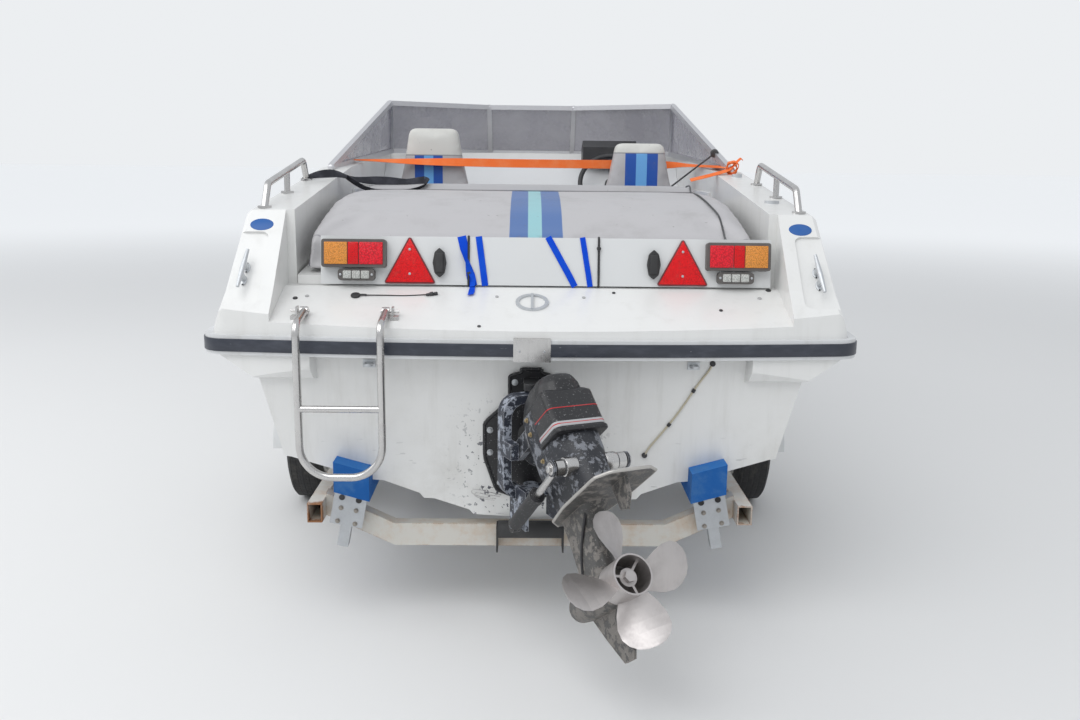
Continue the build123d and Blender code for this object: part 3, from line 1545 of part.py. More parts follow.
def make_cross_members():
    """Each one dips under the keel and rises to the side rails."""
    half = CROSS_HEIGHT / 2
    side_x = FRAME_HALF - FRAME_WIDTH / 2
    rise_z = FRAME_Z - FRAME_HEIGHT / 2 + half
    centre = [(side_x, rise_z), (CROSS_FLAT_HALF, CROSS_Z), (-CROSS_FLAT_HALF, CROSS_Z), (-side_x, rise_z)]
    outline = [(x, z + half) for x, z in centre] + [(x, z - half) for x, z in reversed(centre)]
    return [end_profile(outline, y, y + CROSS_DEPTH) for y in CROSS_YS]


def make_drawbar():
    low = DRAWBAR_Z - DRAWBAR_HEIGHT / 2
    half = DRAWBAR_WIDTH / 2
    return box_between(
        (-half, CROSS_YS[-1] + CROSS_DEPTH, low), (half, DRAWBAR_FRONT_Y, low + DRAWBAR_HEIGHT)
    )


def make_a_frame():
    bars = []
    for side in (-1, 1):
        start = (side * FRAME_HALF, FRAME_FRONT_Y - 20, FRAME_Z)
        end = (side * DRAWBAR_WIDTH / 4, A_FRAME_FRONT_Y, DRAWBAR_Z)
        arm = bar(start, end, FRAME_WIDTH, FRAME_HEIGHT)
        behind = box_between((-OUTSIDE, 0, 0), (OUTSIDE, FRAME_FRONT_Y, ABOVE))
        bars.append(arm - drawbar - behind)
    return bars


def bunk_top_z(x, y):
    """Height of the hull's bottom over one bunk."""
    keel = along(HULL_SECTIONS, 4, y)
    chine = along(HULL_SECTIONS, 2, y)
    chine_z = along(HULL_SECTIONS, 3, y)
    share = abs(x) / chine
    for (low, low_rise), (high, high_rise) in zip(BOTTOM_PROFILE, BOTTOM_PROFILE[1:]):
        if share <= high:
            rise = low_rise + (high_rise - low_rise) * (share - low) / (high - low)
            return keel + rise * (chine_z - keel)
    return chine_z


def make_bunk_pads():
    pads = []
    under_hull = hull.moved(Location((0, 0, -BUNK_CLEARANCE)))
    edges = (BUNK_X - BUNK_WIDTH / 2, BUNK_X + BUNK_WIDTH / 2)
    for side in (-1, 1):
        sections = []
        for y in BUNK_YS:
            low = [bunk_top_z(x, y) - BUNK_THICKNESS for x in edges]
            inner, outer = side * edges[0], side * edges[1]
            high = [z + 2 * BUNK_THICKNESS for z in low]
            sections.append([(inner, low[0]), (outer, low[1]), (outer, high[1]), (inner, high[0])])
        pads.append(loft_stations(sections, BUNK_YS) - under_hull)
    trimmed = []
    for pad in pads:
        trimmed.append(pad.solids().sort_by(Axis.Z)[0])
    return trimmed


def make_bunk_brackets():
    """Zinc plates and square posts that stand on the cross members and carry the bunks."""
    brackets = []
    for y in CROSS_YS:
        for side in (-1, 1):
            x = BUNK_BRACKET_X
            top = bunk_top_z(x, y) - BUNK_THICKNESS / 2
            post = Pos(0, y - BUNK_POST / 2, 0) * Rot(Y=-BUNK_LEAN) * box_between(
                (-BUNK_POST / 2, -BUNK_POST / 2, BUNK_POST_FOOT_Z - BUNK_PIVOT_Z),
                (BUNK_POST / 2, BUNK_POST / 2, top - BUNK_PIVOT_Z),
            )
            plate = Pos(0, y - BUNK_POST - BUNK_PLATE / 2, 0) * Rot(Y=-BUNK_LEAN) * box_between(
                (-BUNK_PLATE_WIDTH / 2, -BUNK_PLATE / 2, -BUNK_PLATE_HEIGHT / 2),
                (BUNK_PLATE_WIDTH / 2, BUNK_PLATE / 2, BUNK_PLATE_HEIGHT / 2),
            )
            bracket = Pos(x, 0, BUNK_PIVOT_Z) * (post + plate)
            if side < 0:
                bracket = mirrored(bracket)
            for pad in bunk_pads:
                bracket = bracket - pad
            brackets.append(bracket.solids().sort_by(SortBy.VOLUME)[-1])
    return brackets


def make_keel_rollers():
    rollers = []
    for y in CROSS_YS:
        centre_y = y - KEEL_ROLLER_RADIUS - 12
        centre_z = along(HULL_SECTIONS, 4, centre_y) - KEEL_ROLLER_RADIUS - BUNK_CLEARANCE
        roller = Pos(0, centre_y, centre_z) * Rot(Y=90) * Cylinder(KEEL_ROLLER_RADIUS, KEEL_ROLLER_LENGTH)
        for side in (-1, 1):
            low, high = sorted((side * (KEEL_ROLLER_LENGTH / 2), side * (KEEL_ROLLER_LENGTH / 2 + 6)))
            cheek = box_between((low, centre_y - 22, CROSS_Z - CROSS_HEIGHT / 2), (high, y, centre_z + 14))
            roller = roller + cheek
        rollers.append(roller)
    return rollers


def make_axle():
    """Beam under the side rails with a trailing arm and a stub at each end."""
    beam_y = AXLE_Y + TRAILING_ARM
    low = FRAME_Z - FRAME_HEIGHT / 2 - AXLE_SADDLE - AXLE_BEAM
    half = AXLE_BEAM / 2
    axle = box_between((-ARM_X, beam_y - half, low), (ARM_X, beam_y + half, low + AXLE_BEAM))
    for side in (-1, 1):
        x = side * FRAME_HALF
        saddle = box_between(
            (x - FRAME_WIDTH / 2 - 6, beam_y - half - 10, low + AXLE_BEAM - 2),
            (x + FRAME_WIDTH / 2 + 6, beam_y + half + 10, FRAME_Z - FRAME_HEIGHT / 2),
        )
        x = side * ARM_X
        arm = bar((x, beam_y + 30, low + AXLE_BEAM / 2), (x, AXLE_Y - 26, TYRE_RADIUS), 20, 56)
        stub = rod((x, AXLE_Y, TYRE_RADIUS), (side * (WHEEL_X + 20), AXLE_Y, TYRE_RADIUS), STUB_RADIUS)
        axle = axle + saddle + arm + stub
    return axle


def wheel_face(points):
    """A half section of the wheel, as (distance from the middle plane, radius) points."""
    return make_face(Polyline([(x, 0, radius) for x, radius in points], close=True))


def make_rim(side):
    rim = revolve(wheel_face(RIM_PROFILE), axis=Axis.X)
    hole = Pos(0, 0, RIM_HOLE_CIRCLE) * Rot(Y=90) * Cylinder(RIM_HOLE_RADIUS, 4 * RIM_HOLE_CIRCLE)
    for number in range(RIM_HOLES):
        rim = rim - Rot(X=number * 360 / RIM_HOLES) * hole
    if side < 0:
        rim = mirrored(rim)
    return Pos(side * WHEEL_X, AXLE_Y, TYRE_RADIUS) * rim


def make_tyre(side):
    tyre = revolve(wheel_face(TYRE_PROFILE), axis=Axis.X)
    return Pos(side * WHEEL_X, AXLE_Y, TYRE_RADIUS) * tyre


def arc_band(low, high, x_low, x_high):
    """A band of the mudguard round the wheel's centre, between two radii."""
    start, end = radians(GUARD_START), radians(GUARD_END)
    middle = (start + end) / 2
    inner = [(low * cos(a), low * sin(a)) for a in (start, middle, end)]
    outer = [(high * cos(a), high * sin(a)) for a in (end, middle, start)]
    at_x = Plane.YZ.offset(x_low)
    edges = at_x * ThreePointArc(*inner) + at_x * Line(inner[2], outer[0])
    edges = edges + at_x * ThreePointArc(*outer) + at_x * Line(outer[2], inner[0])
    return extrude(make_face(edges), amount=x_high - x_low, dir=(1, 0, 0))


def make_mudguards():
    guards = []
    inner = GUARD_RADIUS
    for side in (-1, 1):
        shell = arc_band(inner, inner + GUARD_WALL, GUARD_INNER_X, GUARD_OUTER_X)
        skirt = arc_band(inner - GUARD_SKIRT, inner + GUARD_WALL, GUARD_OUTER_X - GUARD_WALL, GUARD_OUTER_X)
        guard = Pos(0, AXLE_Y, TYRE_RADIUS) * (shell + skirt)
        for direction in (-1, 1):
            y = AXLE_Y + direction * (inner + GUARD_WALL / 2) * cos(asin((FRAME_Z - TYRE_RADIUS) / inner))
            stay = box_between(
                (FRAME_HALF + FRAME_WIDTH / 2, y - 18, FRAME_Z - 4), (GUARD_INNER_X + 60, y + 18, FRAME_Z + 4)
            )
            guard = guard + stay
        if side < 0:
            guard = mirrored(guard)
        guards.append(guard)
    return guards


def make_winch_post():
    foot, top = POST_FOOT, POST_TOP
    _, snubber_y, snubber_z = snubber_place()
    post = bar((0, *foot), (0, *top), POST_SIZE, POST_SIZE)
    arm = bar((0, top[0], top[1] - POST_SIZE / 2), (0, snubber_y + 10, snubber_z), *POST_ARM)
    brace = bar(
        (0, foot[0] - POST_BRACE_FOOT, DRAWBAR_Z + DRAWBAR_HEIGHT / 2 - POST_BRACE / 2),
        (0, foot[0] - POST_BRACE_TOP[0], foot[1] + POST_BRACE_TOP[1]),
        POST_BRACE,
        POST_BRACE,
    )
    width, length, plate = POST_BASE
    base = box_between(
        (-width / 2, foot[0] - length / 2, DRAWBAR_Z + DRAWBAR_HEIGHT / 2),
        (width / 2, foot[0] + length / 2, foot[1] + plate),
    )
    return (post + arm + brace + base) - drawbar - snubber(SNUBBER_LENGTH + 10)


def snubber_place():
    """Centre of the bow snubber, whose radius just clears the stem."""
    centre = Vector(0, stem_y(SNUBBER_Z), SNUBBER_Z) + stem_out(SNUBBER_Z) * (SNUBBER_RADIUS + BUNK_CLEARANCE)
    return centre.X, centre.Y, centre.Z


def snubber(length):
    return Pos(*snubber_place()) * Rot(Y=90) * Cylinder(SNUBBER_RADIUS, length)


def make_winch():
    """Side plates, drum and crank on the aft face of the post."""
    y, z = WINCH_Y, WINCH_Z
    half = WINCH_DRUM_LENGTH / 2
    winch = Pos(0, y, z) * Rot(Y=90) * Cylinder(WINCH_DRUM_RADIUS, WINCH_DRUM_LENGTH)
    plate_length, plate_height = WINCH_PLATE_SIZE
    for side in (-1, 1):
        low, high = sorted((side * half, side * (half + WINCH_PLATE)))
        winch = winch + box_between(
            (low, y + 70 - plate_length, z + 45 - plate_height), (high, y + 70, z + 45)
        )
    back, down = CRANK_REACH
    thickness, width = CRANK_BAR
    arm_x = CRANK_X - thickness / 2
    crank = rod((half, y, z), (CRANK_X, y, z), WINCH_SHAFT_RADIUS)
    crank = crank + bar((arm_x, y, z), (arm_x, y - back, z - down), thickness, width)
    grip_y, grip_z = y - back + 3, z - down + 9
    start, end = (CRANK_X - thickness, grip_y, grip_z), (CRANK_X + CRANK_GRIP, grip_y, grip_z)
    grip = rod(start, end, CRANK_GRIP_RADIUS)
    return (winch + crank + grip) - winch_post


def make_coupling():
    """Coupling head: its socket opens downwards over the ball."""
    y, z = DRAWBAR_FRONT_Y, DRAWBAR_Z
    top = BALL_MOUTH_Z + COUPLING_HEIGHT
    half = COUPLING_BODY / 2
    body = box_between((-half, y - 150, z - 5), (half, y + 40, z + DRAWBAR_HEIGHT / 2 + 10))
    head = Pos(0, BALL_Y, BALL_MOUTH_Z + COUPLING_HEIGHT / 2) * Cylinder(COUPLING_RADIUS, COUPLING_HEIGHT)
    half = COUPLING_NECK / 2
    neck = box_between((-half, y + 20, BALL_MOUTH_Z + 6), (half, BALL_Y, top - 4))
    lever = bar((0, BALL_Y - 20, top - 2), (0, BALL_Y - 140, top + 34), *COUPLING_LEVER)
    socket = Pos(0, BALL_Y, BALL_MOUTH_Z + BALL_DEPTH / 2 - 1) * Cylinder(BALL_RADIUS, BALL_DEPTH + 2)
    return (body + head + neck + lever) - drawbar - socket


def make_jockey_tube():
    clamp = box_between(
        (DRAWBAR_WIDTH / 2, JOCKEY_Y - 34, DRAWBAR_Z - 6), (JOCKEY_X + 34, JOCKEY_Y + 34, DRAWBAR_Z + 30)
    )
    length = JOCKEY_TUBE_TOP_Z - JOCKEY_TUBE_FOOT_Z
    tube = Pos(JOCKEY_X, JOCKEY_Y, JOCKEY_TUBE_FOOT_Z + length / 2) * Cylinder(JOCKEY_TUBE_RADIUS, length)
    middle = JOCKEY_TUBE_FOOT_Z + length / 2
    bore = Pos(JOCKEY_X, JOCKEY_Y, middle - 12) * Cylinder(JOCKEY_STEM_RADIUS + 0.4, length)
    z = JOCKEY_TUBE_TOP_Z + JOCKEY_CRANK_RISE
    end_y = JOCKEY_Y + JOCKEY_CRANK_REACH
    knob_y = end_y - JOCKEY_KNOB_INSET
    shaft = rod((JOCKEY_X, JOCKEY_Y, JOCKEY_TUBE_TOP_Z - 2), (JOCKEY_X, JOCKEY_Y, z + 4), 8)
    crank = bar((JOCKEY_X, JOCKEY_Y, z), (JOCKEY_X, end_y, z), *JOCKEY_CRANK_BAR)
    knob = rod((JOCKEY_X, knob_y, z), (JOCKEY_X, knob_y, z + JOCKEY_KNOB_LENGTH), JOCKEY_KNOB_RADIUS)
    return (clamp + tube) - bore + shaft + crank + knob


def make_jockey_stem():
    length = JOCKEY_STEM_TOP_Z - JOCKEY_STEM_FOOT_Z
    stem = Pos(JOCKEY_X, JOCKEY_Y, JOCKEY_STEM_FOOT_Z + length / 2) * Cylinder(JOCKEY_STEM_RADIUS, length)
    return stem - Pos(JOCKEY_X, JOCKEY_Y, JOCKEY_STEM_FOOT_Z + 14) * Cylinder(JOCKEY_PIN + 0.3, 34)


def make_jockey_fork():
    x, y = JOCKEY_X, JOCKEY_Y
    wheel_y = y - JOCKEY_TRAIL
    half = JOCKEY_FORK_HALF
    top = JOCKEY_STEM_FOOT_Z - 5
    fork = box_between((x - half, wheel_y - 34, top - 8), (x + half, y + 26, top))
    fork = fork + Pos(x, y, top + 12) * Cylinder(JOCKEY_PIN, 26)
    for side in (-1, 1):
        low, high = sorted((side * (half - JOCKEY_FORK_WALL), side * half))
        foot = JOCKEY_WHEEL_RADIUS - 20
        fork = fork + box_between((x + low, wheel_y - 22, foot), (x + high, wheel_y + 22, top))
    pin = rod(
        (x - half, wheel_y, JOCKEY_WHEEL_RADIUS), (x + half, wheel_y, JOCKEY_WHEEL_RADIUS), JOCKEY_AXLE
    )
    return fork + pin


def make_jockey_wheel():
    half = JOCKEY_WHEEL_WIDTH / 2
    profile = [
        (-half + 6, JOCKEY_AXLE + 0.4),
        (half - 6, JOCKEY_AXLE + 0.4),
        (half - 6, 26),
        (half - 14, 32),
        (half - 14, 62),
        (half, 68),
        (half, JOCKEY_WHEEL_RADIUS - 8),
        (half - 10, JOCKEY_WHEEL_RADIUS),
        (-half + 10, JOCKEY_WHEEL_RADIUS),
        (-half, JOCKEY_WHEEL_RADIUS - 8),
        (-half, 68),
        (-half + 14, 62),
        (-half + 14, 32),
        (-half + 6, 26),
    ]
    wheel = revolve(wheel_face(profile), axis=Axis.X)
    return Pos(JOCKEY_X, JOCKEY_Y - JOCKEY_TRAIL, JOCKEY_WHEEL_RADIUS) * wheel


def solids_of(piece):
    """All solids of a piece or of a list of pieces."""
    if isinstance(piece, (list, tuple)):
        return [solid for item in piece for solid in solids_of(item)]
    return list(piece.solids())


def write_parts(pieces):
    """Moves everything so that the origin is below the middle, and writes one file for each node."""
    boxes = [solid.bounding_box() for piece in pieces.values() for solid in solids_of(piece)]
    shift = -(min(box.min.Y for box in boxes) + max(box.max.Y for box in boxes)) / 2
    os.makedirs("parts", exist_ok=True)
    print("shift along Y", round(shift, 3))
    for name, piece in pieces.items():
        moved = [solid.moved(Location((0, shift, 0))) for solid in solids_of(piece)]
        export_step(Compound(children=moved), f"parts/{name}.step")


hull = make_hull()
deck = make_deck()
dashboard = make_dashboard()
windscreen_frame = make_windscreen_frame()
drawbar = make_drawbar()
bunk_pads = make_bunk_pads()
winch_post = make_winch_post()
transom_shield = make_transom_shield()

pieces = {
    "hull": hull,
    "transom_pods": make_pods(),
    "deck": deck,
    "rub_rail": make_rub_rail(),
    "rail_sleeve": make_rail_sleeve(),
    "cockpit_sole": make_sole(),
    "side_linings": make_linings(),
    "dashboard": dashboard,
    "engine": make_engine(),
    "hatch_lid": make_hatch(),
    "sunbed_pad": make_pad(),
    "sunbed_bolster": make_bolster(),
    "light_board": make_light_board(),
    "rear_lamps": make_rear_lamps() + make_number_lamps(),
    "warning_triangles": make_triangles(),
    "seat_bases": make_seat_bases(),
    "seat_cushions": make_seat_cushions(),
    "seat_backs": make_seat_backs(),
    "helm_console": [make_helm_pod(), make_helm_column()],
    "steering_wheel": make_steering_wheel(),
    "windscreen_frame": windscreen_frame,
    "windscreen_glass": make_windscreen_glass(),
    "grab_handles": make_grab_handles(),
    "cleats": make_cleats(),
    "ladder_brackets": make_ladder_brackets(),
    "boarding_ladder": make_ladder(),
    "deck_fittings": [make_deck_fittings(), make_transom_eyes(), make_bow_eye(), make_hatch_hinges()],
    "transom_shield": transom_shield,
    "drive_bellows": make_bellows(),
    "gimbal_ring": make_gimbal_ring(),
    "trim_cylinders": make_trim_cylinders(),
    "trim_rods": make_trim_rods(),
    "drive_upper": make_drive_upper(),
    "drive_cover": make_drive_cover(),
    "drive_lower": make_drive_lower(),
    "propeller": make_propeller(),
    "trailer_rails": make_trailer_rails(),
    "trailer_cross_members": make_cross_members(),
    "trailer_drawbar": drawbar,
    "trailer_a_frame": make_a_frame(),
    "bunk_pads": bunk_pads,
    "bunk_brackets": make_bunk_brackets(),
    "keel_rollers": [make_keel_rollers(), snubber(SNUBBER_LENGTH)],
    "axle": make_axle(),
    "mudguards": make_mudguards(),
    "winch_post": winch_post,
    "winch": make_winch(),
    "coupling": make_coupling(),
    "jockey_tube": make_jockey_tube(),
    "jockey_stem": make_jockey_stem(),
    "jockey_fork": make_jockey_fork(),
    "jockey_wheel": make_jockey_wheel(),
}
for side, name in ((-1, "port"), (1, "starboard")):
    pieces["rim_" + name] = make_rim(side)
    pieces["tyre_" + name] = make_tyre(side)

write_parts(pieces)
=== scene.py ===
# %% [markdown]
# # A sterndrive speedboat on its trailer
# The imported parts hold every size, joint and weight of the boat. This lesson dresses them: it adds
# the cushions, lamps, straps and small hardware, and gives each surface a finish with its wear.
# The parts never move here. What is new sits on them by sizes that are read from them.

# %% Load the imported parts
import math
import random

import bpy
from mathutils import Matrix, Vector


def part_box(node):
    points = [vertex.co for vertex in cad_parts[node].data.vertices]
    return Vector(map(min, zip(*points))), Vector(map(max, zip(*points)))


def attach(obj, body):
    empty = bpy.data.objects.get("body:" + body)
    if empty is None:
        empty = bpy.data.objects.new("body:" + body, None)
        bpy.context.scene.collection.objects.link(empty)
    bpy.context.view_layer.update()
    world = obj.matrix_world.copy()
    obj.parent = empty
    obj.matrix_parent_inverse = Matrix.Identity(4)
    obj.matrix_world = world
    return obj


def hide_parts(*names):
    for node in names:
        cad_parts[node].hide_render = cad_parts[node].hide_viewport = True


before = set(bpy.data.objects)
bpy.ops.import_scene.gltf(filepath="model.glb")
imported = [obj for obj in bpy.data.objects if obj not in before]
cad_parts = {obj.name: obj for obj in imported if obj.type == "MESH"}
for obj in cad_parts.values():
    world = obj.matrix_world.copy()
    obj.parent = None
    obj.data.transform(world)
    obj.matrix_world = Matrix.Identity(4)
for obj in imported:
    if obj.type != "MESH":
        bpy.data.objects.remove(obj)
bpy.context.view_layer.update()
bpy.ops.object.select_all(action="DESELECT")
stern_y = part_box("rub_rail")[0].y
print(len(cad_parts), "nodes, stern at", round(stern_y, 4))


def boat(x, y, z):
    """A place measured in metres from the rail's aft edge, on the centreline and the ground."""
    return Vector((x, y + stern_y, z))


# %% [markdown]
# ## Camera
# The picture was taken from behind the boat at eye height, a little to port of its centreline.
# The lens sees 1080 pixels across at a focal length of 1000 pixels, and the camera looks down
# by 11 degrees.

# %% Camera
PICTURE_WIDTH = 1080
FOCAL_PIXELS = 1000
SENSOR_WIDTH = 36.0
CAMERA_PLACE = (-0.018, -3.15, 1.58)
CAMERA_DOWN = math.atan(0.2)
CAMERA_TURN = math.radians(-0.8)
CAMERA_ROLL = math.radians(0.65)
VIEW_LIMIT = 200

camera_data = bpy.data.cameras.new("camera")
camera_data.sensor_width = SENSOR_WIDTH
camera_data.lens = SENSOR_WIDTH * FOCAL_PIXELS / PICTURE_WIDTH
camera_data.clip_end = VIEW_LIMIT
camera = bpy.data.objects.new("camera", camera_data)
bpy.context.scene.collection.objects.link(camera)
turn = Matrix.Rotation(CAMERA_TURN, 4, "Z")
tip = Matrix.Rotation(math.pi / 2 - CAMERA_DOWN, 4, "X")
roll = Matrix.Rotation(CAMERA_ROLL, 4, "Z")
camera.matrix_world = Matrix.Translation(boat(*CAMERA_PLACE)) @ turn @ tip @ roll
bpy.context.scene.camera = camera
print("camera lens", round(camera_data.lens, 2), "mm")

# %% [markdown]
# ## Light and floor
# Overcast daylight comes from everywhere, with a little more from above and behind the camera.
# A pale world and two large soft lamps do the same. The floor is a plain pale sheet, and the
# camera sees a pale backdrop in the world, also through the glass.

# %% Light and floor
LAMPS = [
    # name, place, aim, width, power
    ("lamp_above", (-3.0, -4.5, 9.0), (0.0, 1.5, 0.8), 9.0, 430),
    ("lamp_port", (-9.0, 1.0, 6.0), (0.0, 1.5, 0.8), 7.0, 190),
]
WORLD_LIGHT = 0.72
DAYLIGHT = (0.93, 0.96, 1.0, 1)
BACKDROP = (0.84, 0.86, 0.88, 1)
FLOOR_COLOUR = (0.80, 0.80, 0.795, 1)
FLOOR_HALF = 150
FLOOR_DROP = 0.001


def add_lamp(name, place, aim, width, power):
    data = bpy.data.lights.new(name, "AREA")
    data.shape = "DISK"
    data.size = width
    data.energy = power
    lamp = bpy.data.objects.new(name, data)
    bpy.context.scene.collection.objects.link(lamp)
    lamp.location = boat(*place)
    lamp.rotation_euler = (boat(*aim) - lamp.location).to_track_quat("-Z", "Y").to_euler()


for row in LAMPS:
    add_lamp(*row)

world = bpy.data.worlds.new("daylight")
bpy.context.scene.world = world
world.use_nodes = True
sky = world.node_tree
light_shader = sky.nodes["Background"]
light_shader.inputs["Color"].default_value = DAYLIGHT
light_shader.inputs["Strength"].default_value = WORLD_LIGHT
seen_shader = sky.nodes.new("ShaderNodeBackground")
seen_shader.inputs["Color"].default_value = BACKDROP
path = sky.nodes.new("ShaderNodeLightPath")
seen_or_through = sky.nodes.new("ShaderNodeMath")
seen_or_through.operation = "MAXIMUM"
sky.links.new(path.outputs["Is Camera Ray"], seen_or_through.inputs[0])
sky.links.new(path.outputs["Is Transmission Ray"], seen_or_through.inputs[1])
choice = sky.nodes.new("ShaderNodeMixShader")
sky.links.new(seen_or_through.outputs[0], choice.inputs["Fac"])
sky.links.new(light_shader.outputs[0], choice.inputs[1])
sky.links.new(seen_shader.outputs[0], choice.inputs[2])
sky.links.new(choice.outputs[0], sky.nodes["World Output"].inputs["Surface"])
bpy.context.scene.view_settings.view_transform = "Standard"

bpy.ops.mesh.primitive_plane_add(size=2 * FLOOR_HALF, location=(0, 0, -FLOOR_DROP))
floor = bpy.context.object
floor.name = "floor"
bpy.ops.object.select_all(action="DESELECT")

# %% [markdown]
# ## A small kit for materials
# Finishes are sums of patterns: dirt is noise times height, rust is noise where paint has gone.
# Written as arithmetic such sums read well, so one class wraps a socket and turns +, * and - into
# nodes. Every other node comes from one method that sets the node up and joins its sockets.

# %% Material kit
class Field:
    """A value on its way through a material's nodes."""

    def __init__(self, paint, socket):
        self.paint = paint
        self.socket = socket

    def math(self, operation, first, second=0.0):
        return self.paint.node("Math", {"operation": operation}, {0: first, 1: second})

    def __add__(self, other):
        return self.math("ADD", self, other)

    __radd__ = __add__

    def __mul__(self, other):
        return self.math("MULTIPLY", self, other)

    __rmul__ = __mul__

    def __sub__(self, other):
        return self.math("SUBTRACT", self, other)

    def __rsub__(self, other):
        return self.math("SUBTRACT", other, self)

    def __abs__(self):
        return self.math("ABSOLUTE", self)

    def __pow__(self, other):
        return self.math("POWER", self, other)

    def most(self, other):
        return self.math("MAXIMUM", self, other)

    def least(self, other):
        return self.math("MINIMUM", self, other)

    def step(self, low, high):
        """Rises smoothly from 0 at low to 1 at high, or falls where low is the greater."""
        values = {"Value": self, "From Min": low, "From Max": high}
        return self.paint.node("MapRange", {"interpolation_type": "SMOOTHSTEP"}, values)

    def band(self, low, high, soft):
        """1 between low and high, with soft edges."""
        return self.step(low - soft, low + soft) * (1 - self.step(high - soft, high + soft))


class Paint:
    """A material as its nodes are put together."""

    def __init__(self, name, colour, roughness, **constants):
        self.material = bpy.data.materials.new(name)
        self.material.use_nodes = True
        self.tree = self.material.node_tree
        self.shader = self.tree.nodes["Principled BSDF"]
        self.shader.inputs["Base Color"].default_value = (*colour, 1)
        self.shader.inputs["Roughness"].default_value = roughness
        for key, value in constants.items():
            self.shader.inputs[key.replace("_", " ").title().replace("Ior", "IOR")].default_value = value
        self.place = None

    def join(self, value, socket):
        if isinstance(value, Field):
            self.tree.links.new(value.socket, socket)
        elif value is not None:
            try:
                socket.default_value = value
            except (TypeError, ValueError):
                socket.default_value = (*value, 1)

    def node(self, kind, settings=None, values=None, output=0):
        """Adds any node: its settings first, then its sockets' values or links."""
        made = self.tree.nodes.new("ShaderNode" + kind)
        for key, value in (settings or {}).items():
            setattr(made, key, value)
        for key, value in (values or {}).items():
            self.join(value, made.inputs[key])
        return Field(self, made.outputs[output])

    def at(self):
        """Object coordinates, which are metres in the boat's own frame."""
        if self.place is None:
            self.place = self.node("TexCoord", output="Object")
        return self.place

    def axis(self, name):
        return self.node("SeparateXYZ", {}, {0: self.at()}, output=name)

    def along_boat(self):
        """Distance forward of the rail's aft edge."""
        return self.axis("Y") - stern_y

    def facing(self, name):
        normal = self.node("NewGeometry", output="Normal")
        return self.node("SeparateXYZ", {}, {0: normal}, output=name)

    def noise(self, scale, detail=3.0, roughness=0.55, stretch=None):
        place = self.at()
        if stretch:
            place = self.node("Mapping", {}, {"Vector": place, "Scale": stretch})
        values = {"Vector": place, "Scale": scale, "Detail": detail, "Roughness": roughness}
        return self.node("TexNoise", {}, values)

    def cells(self, scale):
        return self.node("TexVoronoi", {"feature": "F1"}, {"Vector": self.at(), "Scale": scale})

    def mix(self, mask, first, second):
        """One colour where the mask is 0, the other where it is 1."""
        made = self.tree.nodes.new("ShaderNodeMix")
        made.data_type = "RGBA"
        self.join(mask, made.inputs[0])
        self.join(first, made.inputs[6])
        self.join(second, made.inputs[7])
        return Field(self, made.outputs[2])

    def blend(self, mask, first, second):
        """One number where the mask is 0, the other where it is 1."""
        return self.node("Mix", {}, {0: mask, 2: first, 3: second})

    def edge_wear(self, radius):
        """1 along outward edges, from how far a bevelled normal turns away from the real one."""
        soft = self.node("Bevel", {"samples": 4}, {"Radius": radius})
        real = self.node("NewGeometry", output="Normal")
        same = self.node("VectorMath", {"operation": "DOT_PRODUCT"}, {0: soft, 1: real}, output="Value")
        return (1 - same).step(0.06, 0.4)

    def set(self, socket, value):
        self.join(value, self.shader.inputs[socket])

    def finish(self, colour, roughness, height, distance, strength=1.0):
        """Joins the last colour, roughness and bump, and gives the material."""
        self.set("Base Color", colour)
        self.set("Roughness", roughness)
        values = {"Height": height, "Distance": distance, "Strength": strength}
        self.set("Normal", self.node("Bump", {}, values))
        return self.material


def toned(colour, scale, lift=0.0):
    """A colour made darker, or greyer where something is added to it."""
    return tuple(scale * c + lift for c in colour)


def wear(target, material):
    """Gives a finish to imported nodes, named in a list, or to a new piece."""
    if isinstance(target, (list, tuple)):
        for name in target:
            wear(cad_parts[name], material)
        return
    target.data.materials.clear()
    target.data.materials.append(material)


# %% [markdown]
# ## Gelcoat
# The hull and deck are moulded in a mould whose first coat is thick white gelcoat. It is glossy
# under a film of dirt. Rain leaves faint streaks down the transom, and the bottom has scuffs.

# %% Gelcoat
WHITE = (0.79, 0.79, 0.775)
GRIME = (0.33, 0.31, 0.26)


def gelcoat(name, colour, dirt, rough=0.3):
    paint = Paint(name, colour, rough, coat_weight=0.25, coat_roughness=0.15)
    streaks = paint.noise(9, 4, 0.6, stretch=(2.2, 2.2, 0.18)).step(0.5, 0.78)
    clouds = paint.noise(2.2, 5, 0.6).step(0.42, 0.75)
    specks = paint.noise(140, 2, 0.5).step(0.70, 0.80)
    film = clouds * 0.35 + streaks * 0.4 + specks * 0.5
    colour = paint.mix(film * dirt, colour, GRIME)
    swells = paint.noise(1.7, 2, 0.4) + paint.noise(30, 2, 0.5) * 0.02
    return paint.finish(colour, paint.blend(film.least(1), rough, 0.62), swells, 0.004, 0.5)


wear(["deck", "hatch_lid"], gelcoat("deck_gelcoat", WHITE, 0.22))


